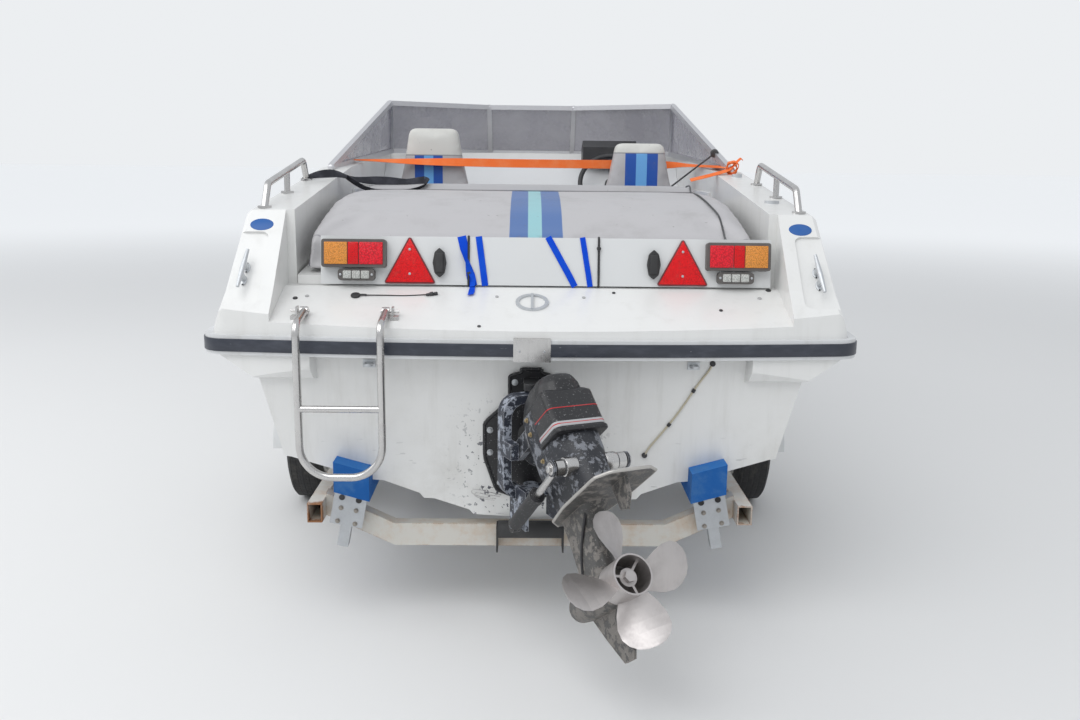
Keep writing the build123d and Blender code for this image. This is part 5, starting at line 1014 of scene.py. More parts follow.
def rubber_clamp(full_name, x):
    """Rubber block on the board that holds a plug: widest at its middle, with a groove across."""
    centre = Vector((x, -CLAMP_SIZE[1] / 2, CLAMP_Z))
    piece = disc(full_name, (0, 0, 0), (0, 1, 0), 0.5, 1.0, 8, 0.04)
    piece.scale = (CLAMP_SIZE[0] * 1.04, CLAMP_SIZE[1], CLAMP_SIZE[2] * 1.04)
    piece.location = centre
    settle(piece, board_frame)
    low = (x - 0.014, -CLAMP_SIZE[1] - 0.006, CLAMP_Z - 0.034)
    high = (x + 0.014, -CLAMP_SIZE[1] + 0.004, CLAMP_Z + 0.034)
    grip = block(full_name, low, high, 0.004, 3, board_frame)
    fit(joined(full_name, [piece, grip]), "hatch", black_rubber, "rubber")


for full_name, x in sides("number_lens", NUMBER_LAMP_X):
    number_lamp(full_name, x)
for full_name, x in sides("reflector", TRIANGLE_X):
    reflector(full_name, x)
for full_name, x in zip(("clamp_port", "clamp_starboard"), CLAMP_XS):
    rubber_clamp(full_name, x)


def woven(name, colour, worn, scale=1400):
    """Woven tape: a fine ribbed weave with painted shade in its grooves, and faded and dirty stretches."""
    paint = Paint(name, colour, 0.75, specular_ior_level=0.2)
    weave = paint.cells(scale)
    fade = paint.noise(14, 4, 0.6).step(0.4, 0.75)
    # Painted shade: the weave is made darker in its grooves.
    grooves = paint.mix(weave * 0.35, colour, toned(colour, 0.6))
    return paint.finish(paint.mix(fade * 0.55, grooves, worn), 0.75, 1 - weave, 0.0008, 0.8)


ribbon_blue = woven("ribbon_blue", (0.001, 0.075, 0.74), (0.01, 0.12, 0.70))
tie_black = moulded("tie_black", (0.02, 0.02, 0.022), 0.5)
RIBBONS = [
    # place across at the board's top and at its foot, width, and how far it is turned halfway down
    (-0.294, -0.254, 0.030, 70),
    (-0.235, -0.212, 0.022, 0),
    (0.005, 0.099, 0.022, 0),
    (0.124, 0.152, 0.019, 0),
]
RIBBON_LIFT = 0.0018
RIBBON_THICKNESS = 0.0009


def ribbon_points(top_x, foot_x):
    """Round the board: up behind it, over its top, down its face and under its foot."""
    back = BOARD_THICKNESS + RIBBON_LIFT
    top = BOARD_HEIGHT + RIBBON_LIFT
    points = [(top_x, back, top - 0.03), (top_x, back, top), (top_x, -RIBBON_LIFT, top)]
    for share, bulge in ((0.25, 0.003), (0.5, 0.0015), (0.78, 0.004)):
        points.append((top_x + share * (foot_x - top_x), -RIBBON_LIFT - bulge, top * (1 - share)))
    points += [(foot_x, -RIBBON_LIFT, -RIBBON_LIFT), (foot_x, back, -RIBBON_LIFT), (foot_x, back, 0.02)]
    return points


def on_board(points):
    return [board_frame @ Vector(p) for p in points]


HALFWAY = 4
for number, (top_x, foot_x, width, turn) in enumerate(RIBBONS, 1):
    run = Vector((foot_x - top_x, 0, -BOARD_HEIGHT))
    across = board_frame.to_3x3() @ Vector((-run.z, 0, run.x))
    points = on_board(ribbon_points(top_x, foot_x))
    ways = [across] * len(points)
    if turn:
        ways[HALFWAY] = Matrix.Rotation(math.radians(turn), 3, "Z") @ across
        points[HALFWAY] = points[HALFWAY] - Vector((0, width / 2, 0))
    band = strap(f"ribbon_{number}", points, ways, width, RIBBON_THICKNESS, 0)
    fit(band, "hatch", ribbon_blue, None)

tail = [
    board_frame @ Vector((-0.254, -0.0035, 0.010)), boat(-0.206, 0.289, 1.148), boat(-0.208, 0.276, 1.1405),
    boat(-0.207, 0.262, 1.1355), boat(-0.209, 0.248, 1.1315), boat(-0.210, 0.236, 1.1285),
]
tail_ways = [(1, 0, 0), (0.7, 0.5, 0.1), (1, 0.1, 0.35), (1, -0.1, -0.2), (1, 0.25, 0.3), (1, 0.4, 0.1)]
fit(strap("ribbon_tail", tail, tail_ways, 0.022, RIBBON_THICKNESS, 2), "hatch", ribbon_blue, None)
fold = [
    board_frame @ Vector((-0.268, -0.004, 0.046)), board_frame @ Vector((-0.256, -0.011, 0.034)),
    board_frame @ Vector((-0.250, -0.008, 0.018)), board_frame @ Vector((-0.254, -0.011, 0.006)),
    boat(-0.206, 0.284, 1.150),
]
fold_ways = [(0.9, 0, 0.5), (1, 0.3, 0), (0.8, 0, 0.6), (1, 0.2, -0.3), (1, 0.1, 0.2)]
fit(strap("ribbon_knot", fold, fold_ways, 0.018, RIBBON_THICKNESS, 2), "hatch", ribbon_blue, None)

# Two thin elastic ties: place across, and height of the toggle
for number, (x, knob_z) in enumerate([(-0.2695, 0.045), (0.181, 0.13)], 1):
    name = f"board_tie_{number}"
    cord_line = tube(name, on_board(ribbon_points(x, x)), 0.0040, 2)
    knob_place = board_frame @ Vector((x, -0.006, knob_z))
    knob = disc(name, knob_place, (0, 1, 0), 0.0075, 0.012, 12, 0.002)
    fit(joined(name, [cord_line, knob]), "hatch", tie_black, "rubber")
print("light board done,", made_count, "pieces so far")

# %% [markdown]
# ## Ledge, corners and screws
# Drain plugs and old screws dot the ledge behind the hatch, each a shallow disc in the slope. The
# corners carry blank oval plates, the transom a stud, and the cleats and the rail their screws.

# %% Ledge, corners and screws
LEDGE_RISE = 0.39
LEDGE_FOOT = 1.028
ledge_out = Vector((0, -LEDGE_RISE, 1)).normalized()
dark_cap = moulded("dark_cap", (0.03, 0.03, 0.032), 0.45)
grey_cap = moulded("grey_cap", (0.42, 0.42, 0.42), 0.4)
PLUGS = [
    # place across, place forward, radius, material
    (-0.801, 0.216, 0.0085, dark_cap),
    (-0.764, 0.230, 0.0070, grey_cap),
    (-0.120, 0.237, 0.0060, grey_cap),
    (-0.172, 0.052, 0.0060, dark_cap),
    (0.176, 0.236, 0.0060, grey_cap),
    (0.281, 0.269, 0.0060, dark_cap),
    (0.779, 0.241, 0.0075, grey_cap),
    (0.821, 0.296, 0.0095, dark_cap),
    (0.633, 0.162, 0.0065, dark_cap),
]


def on_ledge(x, y, lift=0.0):
    return boat(x, y, LEDGE_FOOT + LEDGE_RISE * y) + ledge_out * lift


for number, (x, y, radius, material) in enumerate(PLUGS, 1):
    plug = disc(f"ledge_plug_{number}", on_ledge(x, y, 0.0008), ledge_out, radius, 0.005, 18, 0.0012)
    fit(plug, "boat", material, "rubber")

# A short elastic line with a hook lies on the ledge: places across and forward, and lift
HOOK_PLACE = (-0.600, 0.233, 0.004)
BUNGEE_LINE = [
    (-0.562, 0.235, 0.004), (-0.50, 0.238, 0.0025), (-0.44, 0.236, 0.002),
    (-0.39, 0.241, 0.002), (-0.36, 0.244, 0.003),
]
BUNGEE_KNOTS = [
    # place across, place forward, how far the axis turns forward, radius
    (-0.343, 0.244, 0.0, 0.0075),
    (-0.329, 0.247, 0.06, 0.006),
    (-0.355, 0.240, -0.08, 0.005),
]
hook_place = on_ledge(*HOOK_PLACE)
hook = disc("bungee_hook", hook_place, ledge_out, 0.0165, 0.008, 20, 0.003)
line = [on_ledge(*place) for place in BUNGEE_LINE]
shank_line = [hook_place, hook_place + Vector((0.022, 0.001, 0.004)), line[0]]
shank = tube("bungee_hook", shank_line, 0.0032)
fit(joined("bungee_hook", [hook, shank]), "boat", black_plastic, "rubber")
bungee = [tube("bungee_line", line, 0.0018)]
for x, y, turn, radius in BUNGEE_KNOTS:
    bungee.append(disc("bungee_line", on_ledge(x, y, 0.005), (1, turn, 0.2), radius, 0.014, 12, 0.003))
fit(joined("bungee_line", bungee), "boat", tie_black, "rubber")

CORNER_LOW = Vector((0, 0.150, 1.160))
CORNER_HIGH = Vector((0, 0.360, 1.400))
corner_rise = (CORNER_HIGH - CORNER_LOW).normalized()
corner_out = Vector((0, -corner_rise.z, corner_rise.y))


def on_corner(x, z, lift=0.0):
    """A place on the sloping aft face of a shoulder, by height."""
    share = (z - CORNER_LOW.z) / (CORNER_HIGH.z - CORNER_LOW.z)
    y = CORNER_LOW.y + share * (CORNER_HIGH.y - CORNER_LOW.y)
    return boat(x, y, z) + corner_out * lift


plate_blue = moulded("plate_blue", (0.008, 0.10, 0.36), 0.4, dust=0.08)
for full_name, x in (("corner_plate_port", -0.929), ("corner_plate_starboard", 0.925)):
    plate = disc(full_name, (0, 0, 0), corner_out, 0.025, 0.0024, 32, 0.0008)
    plate.scale = (1.6, 1.0, 1.0)
    plate.location = on_corner(x, 1.352, 0.0008)
    fit(settle(plate), "boat", plate_blue, None)

CLEAT_LINE = ((0.952, 1.256), (0.964, 1.144))
for full_name, side in (("cleat_plates_port", -1), ("cleat_plates_starboard", 1)):
    bases, screws = [], []
    (high_x, high_z), (low_x, low_z) = CLEAT_LINE
    for share in (0.33, 0.67):
        x = side * (high_x + share * (low_x - high_x))
        z = high_z + share * (low_z - high_z)
        base = disc(full_name, (0, 0, 0), corner_out, 0.011, 0.004, 24, 0.001)
        base.scale = (1.0, 1.7, 1.7)
        base.location = on_corner(x, z, -0.0075)
        bases.append(settle(base))
        for offset in (-0.013, 0.013):
            centre = on_corner(x, z + offset, -0.005)
            screws.append(disc(full_name, centre, corner_out, 0.003, 0.003, 12, 0.0006))
    fit(joined(full_name, bases), "boat", cast_alloy, "cast_alloy")
    fit(joined(full_name.replace("plates", "screws"), screws), "boat", dark_cap, "cast_alloy")

stud = disc("transom_stud", boat(-0.335, 0.082, 0.945), (0, 1, 0.1), 0.008, 0.02, 16, 0.002)
fit(stud, "boat", dark_cap, "rubber")
sleeve_screws = [disc("sleeve_screws", boat(x, -0.0055, 0.978), (0, 1, 0), 0.0038, 0.003, 14, 0.0008)
                 for x in (-0.040, 0.040)]
fit(joined("sleeve_screws", sleeve_screws), "boat", zinc, "stainless")
print("ledge and corners done,", made_count, "pieces so far")

# %% [markdown]
# ## Straps over the cockpit
# An orange ratchet strap runs from shoulder to shoulder, in front of one seat and behind the
# other, and ends in a knot at the starboard side. A twisted black strap lies to port. Both are
# webbing: flat, thin, and folded where they turn.

# %% Straps
orange = woven("orange_webbing", (1.0, 0.20, 0.045), (0.92, 0.30, 0.12), 900)
black_web = woven("black_webbing", (0.03, 0.032, 0.04), (0.10, 0.10, 0.12), 900)
STRAP_THICKNESS = 0.0016
ORANGE_PATH = [
    # place across, place forward, height, and how far its width leans up from flat, in degrees
    (-0.860, 1.785, 1.571, 6), (-0.780, 1.825, 1.570, 12), (-0.700, 1.848, 1.568, 22),
    (-0.600, 1.858, 1.566, 36), (-0.486, 1.860, 1.565, 50), (-0.380, 1.864, 1.565, 58),
    (-0.280, 1.886, 1.564, 64), (-0.130, 1.922, 1.562, 66), (0.050, 1.965, 1.562, 70),
    (0.220, 2.005, 1.562, 72), (0.330, 2.048, 1.562, 76), (0.440, 2.060, 1.562, 84),
    (0.550, 2.062, 1.562, 84), (0.660, 2.055, 1.562, 70), (0.735, 2.020, 1.562, 40),
    (0.765, 1.930, 1.561, 18), (0.810, 1.770, 1.560, 12), (0.860, 1.580, 1.559, 12),
    (0.895, 1.430, 1.557, 12),
]


def leaning(name, rows, width):
    """A strap whose rows also say how far its width leans up from flat, square to its run."""
    places = [boat(x, y, z) for x, y, z, _ in rows]
    ways = []
    for number, (_, _, _, lean) in enumerate(rows):
        run = places[min(number + 1, len(rows) - 1)] - places[max(number - 1, 0)]
        flat = Vector((-run.y, run.x, 0)).normalized()
        angle = math.radians(lean)
        ways.append(flat * math.cos(angle) + Vector((0, 0, 1)) * math.sin(angle))
    return strap(name, places, ways, width, STRAP_THICKNESS)


fit(leaning("orange_strap", ORANGE_PATH, 0.044), "boat", orange, None)


def wobble(points, size, seed):
    """Moves inner points a little, so that a strap doesn't look drawn with a ruler."""
    pick = random.Random(seed)
    moved = [Vector(points[0])]
    for point in points[1:-1]:
        moved.append(Vector(point) + Vector([pick.uniform(-size, size) for _ in range(3)]))
    return moved + [Vector(points[-1])]


KNOT_LAPS = [
    # start of the lap, tilt, radius
    (0.0, 0.3, 0.030),
    (1.1, -0.4, 0.026),
    (2.2, 0.2, 0.024),
]
KNOT_TAIL = [
    (0.870, 1.395, 1.541), (0.832, 1.37, 1.534), (0.785, 1.355, 1.520),
    (0.735, 1.34, 1.508), (0.700, 1.33, 1.500),
]
KNOT_END = [(0.925, 1.43, 1.585), (0.945, 1.44, 1.602), (0.952, 1.46, 1.590)]
knot_place = boat(0.900, 1.420, 1.556)


def knot_band(points, across, width):
    return strap("orange_knot", points, across, width, STRAP_THICKNESS)


loops = []
for turn, tilt, size in KNOT_LAPS:
    lap = []
    for step in range(8):
        angle = turn + step * math.pi / 4
        lap.append((math.cos(angle) * size, 0.4 * math.sin(angle) * size, math.sin(angle + tilt) * size))
    lap.append(lap[0])
    loops.append(knot_band([knot_place + Vector(p) for p in lap], (0.2, 1, 0.3), 0.030))
tail_path = wobble([knot_place] + [boat(*place) for place in KNOT_TAIL], 0.002, 3)
loops.append(knot_band(tail_path, (0, 1, 0.35), 0.036))
loops.append(knot_band([knot_place] + [boat(*place) for place in KNOT_END], (0, 1, 0.2), 0.034))
fit(joined("orange_knot", loops), "boat", orange, None)

BLACK_PATH = [
    (-0.950, 1.080, 1.492, 12), (-0.925, 1.095, 1.502, 25), (-0.890, 1.120, 1.512, 60),
    (-0.850, 1.150, 1.516, 75), (-0.815, 1.180, 1.513, 45), (-0.775, 1.215, 1.492, 25),
    (-0.735, 1.245, 1.486, 45), (-0.690, 1.262, 1.485, 75), (-0.640, 1.268, 1.485, 80),
    (-0.590, 1.272, 1.483, 55), (-0.545, 1.277, 1.480, 30), (-0.500, 1.287, 1.485, 60),
    (-0.468, 1.290, 1.487, 80),
]
BLACK_LOOP = [
    (-0.468, 1.290, 1.487, 80), (-0.445, 1.266, 1.482, 50), (-0.470, 1.230, 1.460, 30),
    (-0.520, 1.212, 1.445, 20), (-0.590, 1.206, 1.440, 15), (-0.660, 1.206, 1.442, 20),
    (-0.715, 1.210, 1.450, 35), (-0.755, 1.204, 1.474, 45), (-0.790, 1.190, 1.500, 30),
]
black_pieces = [leaning("black_strap", BLACK_PATH, 0.036), leaning("black_strap", BLACK_LOOP, 0.034)]
fit(joined("black_strap", black_pieces), "boat", black_web, None)

# A taut black cord from the windscreen's side bar down to the bulkhead, with a wrap round the bar.
TAUT_CORD = ((0.862, 1.660, 1.620), (0.406, 1.523, 1.280))
taut_ends = [boat(*place) for place in TAUT_CORD]
taut_cord = tube("taut_cord", taut_ends, 0.0040, 2)
wrap = disc("taut_cord", taut_ends[0], (0, 0.96, 0.28), 0.0190, 0.024, 16, 0.004)
fit(joined("taut_cord", [taut_cord, wrap]), "boat", tie_black, "rubber")
print("straps done,", made_count, "pieces so far")

# %% [markdown]
# ## Cable of the lamps
# A dark cable leaves the light board behind the starboard lamp, lies along the pad and over the
# bolster's end, and goes down into the lid behind it. It is 1.27 m long and 7 mm thick. The picture
# shows it from the lamp to the bolster, and behind that it goes into the boat. Its line is one
# smooth curve that lies on the swollen pad, with a point wherever the surface under it turns.

# %% Cable of the lamps
CABLE_DIAMETER = 0.007
CABLE_LINE = [
    (0.680, 0.337, 1.300), (0.680, 0.352, 1.305), (0.682, 0.400, 1.3135), (0.683, 0.450, 1.3425),
    (0.682, 0.520, 1.384), (0.680, 0.585, 1.399), (0.674, 0.700, 1.4205), (0.667, 0.790, 1.437),
    (0.668, 0.950, 1.4505), (0.673, 1.130, 1.449), (0.685, 1.225, 1.456), (0.691, 1.280, 1.4755),
    (0.691, 1.340, 1.4745), (0.690, 1.390, 1.468), (0.688, 1.421, 1.452), (0.687, 1.424, 1.400),
    (0.687, 1.422, 1.330), (0.687, 1.418, 1.297),
]
cable = round_line("lamp_cable", [boat(*place) for place in CABLE_LINE], CABLE_DIAMETER / 2, 3, 4, 8)
wear(cable, moulded("cable_grey", (0.055, 0.057, 0.06), 0.5))
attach(cable, "hatch")
boat(*CABLE_LINE[0])
glands = [
    disc("cable_glands", boat(0.680, 0.338, 1.300), (0, 1, 0.25), 0.0075, 0.014, 18, 0.002),
    disc("cable_glands", boat(0.687, 1.4175, 1.302), (0, 0, 1), 0.0068, 0.010, 18, 0.0015),
]
fit(joined("cable_glands", glands), "hatch", black_rubber, None)

# %% [markdown]
# ## Stern drive
# A stern drive is a leg of castings that hangs on the transom. Its cover is a flat-sided moulded
# cap with a bright line round it, its trim cylinders end in polished eyes, and its plate has a
# worn rim. The drive is stored turned and tilted, so its pieces are drawn upright, with the tilt
# hinge as their origin, and one matrix puts them in place.

# %% Where the drive stands
DRIVE_STEER = math.radians(24)
DRIVE_TILT = math.radians(38)
HINGE_PLACE = (0, -0.080, 0.680)
swing = Matrix.Translation(boat(0, 0, 0)) @ Matrix.Rotation(DRIVE_STEER, 4, "Z")
drive_frame = swing @ Matrix.Translation(HINGE_PLACE) @ Matrix.Rotation(-DRIVE_TILT, 4, "X")


def on_leg(across, aft, up):
    """A point of the drive from its distance across, aft of the hinge and above it."""
    return drive_frame @ Vector((across, -aft, up))


leg_across = (drive_frame.to_3x3() @ Vector((1, 0, 0))).normalized()
print("tilt hinge at", [round(value, 3) for value in on_leg(0, 0, 0)])

# %% Stacked plan sections
def stacked(name, rows, corner, steps=3):
    """A form whose rounded plan section is extruded upward and resized from row to row."""
    up, aft, width, length = rows[0]
    bpy.ops.mesh.primitive_plane_add(size=1, location=(0, -aft, up))
    piece = bpy.context.object
    piece.name = name
    piece.scale = (width, length, 1)
    settle(piece)
    edit_all(piece)
    bpy.ops.mesh.bevel(offset=corner, segments=steps, affect="VERTICES")
    for (low, back, wide, long), (high, aft, width, length) in zip(rows, rows[1:]):
        bpy.ops.mesh.extrude_region_move(TRANSFORM_OT_translate={"value": (0, back - aft, high - low)})
        bpy.ops.transform.resize(value=(width / wide, length / long, 1), center_override=(0, -aft, high))
    bpy.ops.mesh.select_all(action="SELECT")
    bpy.ops.mesh.normals_make_consistent(inside=False)
    bpy.ops.object.mode_set(mode="OBJECT")
    limit = math.radians(16)
    modify(piece, "BEVEL", width=0.0035, segments=2, limit_method="ANGLE", angle_limit=limit)
    return settle(piece, drive_frame)


# %% [markdown]
# ## Cover of the drive
# The cover is a black moulded cap with a flat-sided skirt that hangs over the housing's aft side.
# The skirt ends in a lip, with a silver band above it and thin red lines. The bands are shallow
# rings a little wider than the skirt, so they stand proud.

# %% Cover of the drive
# Columns: height above the hinge, distance of the middle aft of it, width, length
CAP_ROWS = [
    (0.0600, 0.160, 0.166, 0.230),
    (0.0690, 0.161, 0.165, 0.228),
    (0.1080, 0.170, 0.144, 0.206),
    (0.1330, 0.181, 0.116, 0.164),
    (0.1440, 0.179, 0.082, 0.122),
]
SKIRT_ROWS = [
    (-0.0740, 0.2390, 0.164, 0.140),
    (-0.0720, 0.2390, 0.176, 0.150),
    (-0.0610, 0.2385, 0.176, 0.150),
    (-0.0590, 0.2380, 0.168, 0.142),
    (0.0680, 0.2160, 0.168, 0.128),
    (0.0820, 0.2080, 0.148, 0.110),
]
CAP_CORNER = 0.070
SKIRT_CORNER = 0.020
# Columns: name, low edge, high edge, how far it stands proud
BANDS = [
    ("cover_silver_band", -0.056, -0.036, 0.0009),
    ("cover_band_line", -0.048, -0.043, 0.0014),
    ("cover_red_line", 0.008, 0.012, 0.0010),
]
band_silver = moulded("band_silver", (0.42, 0.42, 0.43), 0.35)
band_red = moulded("band_red", (0.50, 0.012, 0.018), 0.4)


def skirt_section(up):
    """The skirt's middle, width and length at one height."""
    for (low, *first), (high, *second) in zip(SKIRT_ROWS, SKIRT_ROWS[1:]):
        if low <= up <= high:
            share = (up - low) / (high - low)
            return [a + (b - a) * share for a, b in zip(first, second)]


crown = stacked("cap", CAP_ROWS, CAP_CORNER, steps=5)
cap = joined("drive_cover_cap", [crown, stacked("skirt", SKIRT_ROWS, SKIRT_CORNER)])
fit(cap, "outdrive", cover_black, "drive_paint", "drive_cover", smooth=30)
for band_name, low, high, proud in BANDS:
    rows = []
    for up in (low, high):
        aft, width, length = skirt_section(up)
        rows.append((up, aft, width + 2 * proud, length + 2 * proud))
    paint = band_silver if "silver" in band_name else band_red
    fit(stacked(band_name, rows, SKIRT_CORNER), "outdrive", paint, None, smooth=30)
print("cover", len(cap.data.polygons), "faces")

# %% [markdown]
# ## Bolts and eyes
# The eyes of the trim cylinders are polished sleeves on one pin, with a nut and washer at each
# end. Plated bolts with worn heads hold the housing together along its side.

# %% Eyes and bolts
RAM_EYE = (0.285, -0.172)
SLEEVE_ENDS = (0.045, 0.084)
END_NUT = 0.128
brass = dull_metal("worn_brass", (0.50, 0.40, 0.24), 0.4)


def leg_disc(name, across, aft, up, radius, length, sides, bevel):
    """A turned piece whose axis lies across the drive."""
    return disc(name, on_leg(across, aft, up), leg_across, radius, length, sides, bevel)


eye_pieces = []
for side in (-1, 1):
    for place, radius, length, edges, rounding in (
        (sum(SLEEVE_ENDS) / 2, 0.0285, SLEEVE_ENDS[1] - SLEEVE_ENDS[0], 32, 0.003),
        (END_NUT - 0.003, 0.019, 0.003, 24, 0.0015),
        (END_NUT + 0.003, 0.0125, 0.009, 6, 0.0015),
    ):
        eye_pieces.append(leg_disc("ram_eyes", side * place, *RAM_EYE, radius, length, edges, rounding))
fit(joined("ram_eyes", eye_pieces), "outdrive", stainless, "polished_steel")

# Columns: distance aft, height, half width of the housing there
SIDE_BOLTS = [(0.126, 0.046, 0.0826), (0.128, -0.002, 0.0838), (0.150, -0.100, 0.0764)]
bolt_pieces = []
for side in (-1, 1):
    for aft, up, wall in SIDE_BOLTS:
        for lift, *turned in ((0, 0.0085, 0.003, 16, 0.0006), (0.004, 0.0058, 0.007, 6, 0.0008)):
            bolt_pieces.append(leg_disc("housing_bolts", side * (wall + lift), aft, up, *turned))
fit(joined("housing_bolts", bolt_pieces), "outdrive", brass, None)

# %% [markdown]
# ## Rim of the plate and the hose along the leg
# The plate over the propeller is knocked bright along its rim. A thin bead shows it. A black hose
# runs down the port side of the leg.

# %% Plate rim and hose
PLATE_RIM = [(0.052, 0.0), (0.055, 0.040), (0.110, 0.078), (0.240, 0.096), (0.470, 0.096), (0.505, 0.060)]
PLATE_MIDDLE = -0.276
rim_metal = dull_metal("knocked_alloy", (0.60, 0.58, 0.55), 0.42)
half = [on_leg(across, aft, PLATE_MIDDLE) for aft, across in PLATE_RIM]
other = [on_leg(-across, aft, PLATE_MIDDLE) for aft, across in reversed(PLATE_RIM[1:])]
rim = tube("plate_rim", half[1:] + other, 0.0046, order=2)
fit(rim, "outdrive", rim_metal, None)

LEG_HOSE = [
    (-0.030, 0.246, -0.288), (-0.036, 0.242, -0.310), (-0.041, 0.222, -0.335), (-0.036, 0.180, -0.360),
    (-0.0335, 0.140, -0.400), (-0.0325, 0.118, -0.440), (-0.030, 0.100, -0.462),
]
hose = tube("leg_hose", [on_leg(*place) for place in LEG_HOSE], 0.0045)
fit(hose, "outdrive", black_plastic, None)

# %% [markdown]
# ## Rim and nuts of the shield
# The shield on the transom is a casting with a thick raised rim, held by nuts on studs.

# %% Shield rim and nuts
TRANSOM_RAKE = ((0.957, 0.080), (0.365, 0.141))
SHIELD_RIM = [
    (0.033, 0.904), (0.033, 0.892), (0.072, 0.880), (0.072, 0.796), (0.156, 0.716),
    (0.156, 0.592), (0.117, 0.474), (0.060, 0.452),
]
SHIELD_FACE = 0.012


def on_shield(x, z, lift=0.0):
    """A place on the shield's face, lifted off it by a little."""
    (high, high_y), (low, low_y) = TRANSOM_RAKE
    share = (high - z) / (high - low)
    return boat(x, high_y + share * (low_y - high_y) - SHIELD_FACE - lift, z)


ring = [on_shield(x, z) for x, z in SHIELD_RIM] + [on_shield(-x, z) for x, z in reversed(SHIELD_RIM)]
bead = tube("shield_rim", ring + ring[:1], 0.0062, order=2, sides=4)
STUDS = [(0.138, 0.690), (0.138, 0.610), (0.104, 0.500), (0.055, 0.858)]
shield_out = (on_shield(0, 0.7, 1) - on_shield(0, 0.7)).normalized()
stud_pieces = []
for side in (-1, 1):
    for x, z in STUDS:
        stud_pieces.append(disc("shield_nuts", on_shield(side * x, z, 0.001), shield_out, 0.011, 0.003, 20))
        stud_pieces.append(disc("shield_nuts", on_shield(side * x, z, 0.006), shield_out, 0.0075, 0.008, 6))
fit(bead, "boat", cover_black, None)
fit(joined("shield_nuts", stud_pieces), "boat", zinc, None)
print("drive's small pieces made")

# %% [markdown]
# ## Hose and wires on the transom
# A thin drain hose is clipped to the transom between two small fittings, so it can't swing and is
# modelled as a fixed pipe. Two loops of bare wire hang beside the drive's foot.

# %% Drain hose and wire loops
HOSE_LINE = [
    (0.598, 0.926), (0.590, 0.905), (0.562, 0.868), (0.540, 0.832), (0.505, 0.772), (0.464, 0.711),
    (0.425, 0.660), (0.396, 0.622), (0.386, 0.600),
]
HOSE_CLIPS = (3, 5)
HOSE_RADIUS = 0.0033
aged_hose = moulded("aged_hose", (0.50, 0.45, 0.33), 0.45)


def on_transom(x, z, lift):
    """A place on the bare transom, lifted off it by a little."""
    return on_shield(x, z, lift - SHIELD_FACE)


def hose_clip(x, z, lift, axis, radius, length, sides):
    return disc("hose_clips", on_transom(x, z, lift), axis, radius, length, sides, 0.002)


hose = tube("drain_hose", [on_transom(x, z, HOSE_RADIUS + 0.0006) for x, z in HOSE_LINE], HOSE_RADIUS)
fit(hose, "boat", aged_hose, None)
clip_pieces = []
for number in HOSE_CLIPS:
    (low_x, low_z), (x, z), (high_x, high_z) = HOSE_LINE[number - 1:number + 2]
    along = (on_shield(high_x, high_z) - on_shield(low_x, low_z)).normalized()
    clip_pieces.append(hose_clip(x, z, 0.004, along, 0.0062, 0.014, 14))
for x, z in (HOSE_LINE[0], HOSE_LINE[-1]):
    clip_pieces.append(hose_clip(x, z, 0.003, shield_out, 0.0095, 0.009, 16))
fit(joined("hose_clips", clip_pieces), "boat", black_plastic, None)

WIRE_LOOPS = [
    [(-0.100, 0.454), (-0.150, 0.468), (-0.196, 0.478), (-0.205, 0.462), (-0.170, 0.446), (-0.118, 0.440)],
    [(-0.104, 0.450), (-0.150, 0.456), (-0.186, 0.466), (-0.194, 0.452), (-0.160, 0.440), (-0.122, 0.436)],
]
wires = []
for turn, loop in enumerate(WIRE_LOOPS):
    lift = 0.004 + 0.004 * turn
    wires.append(tube("wire_loops", [on_shield(x, z, lift) for x, z in loop], 0.0014))
fit(joined("wire_loops", wires), "boat", stainless, None)
print("hose and wires made")

# %% [markdown]
# ## Small parts of the trailer
# The trailer's steel is drilled and bolted. Each bunk's plate has two big holes, drawn as dark discs
# of painted shade, and four bolts. The wheels carry nuts, a dust cap and a valve, and the tyres have tread.

# %% Bracket plates
PLATE_PLACE = (0.618, -0.046, 0.414)
PLATE_LEAN = math.radians(11)
CROSS_PLACES = (0.150, 1.290, 3.000)
PLATE_HOLES = [(-0.029, 0.028), (0.029, 0.028)]
PLATE_BOLTS = [(-0.026, -0.010), (0.026, -0.010), (-0.030, -0.058), (0.030, -0.058)]
# A near-black finish that paints the shade inside the plates' holes.
painted_hole_shade = moulded("painted_hole_shade", (0.035, 0.032, 0.03), 0.7)
aged_bolt = dull_metal("aged_bolt", (0.40, 0.37, 0.33), 0.5)


def plate_frame(side, y):
    place = boat(side * PLATE_PLACE[0], y + PLATE_PLACE[1], PLATE_PLACE[2])
    return Matrix.Translation(place) @ Matrix.Rotation(-side * PLATE_LEAN, 4, "Y")


def collar(name, centre, axis, radius, wall, matrix=None):
    """A thin raised ring round a hole."""
    bpy.ops.mesh.primitive_torus_add(
        major_segments=24, minor_segments=8, major_radius=radius, minor_radius=wall,
        location=Vector(centre), rotation=Vector(axis).to_track_quat("Z", "Y").to_euler(),
    )
    piece = bpy.context.object
    piece.name = name
    return settle(piece, matrix)


def plate_disc(name, centre, radius, length, sides, bevel, matrix):
    """A disc whose axis is square to the bracket's plate."""
    return disc(name, centre, (0, 1, 0), radius, length, sides, bevel, matrix)


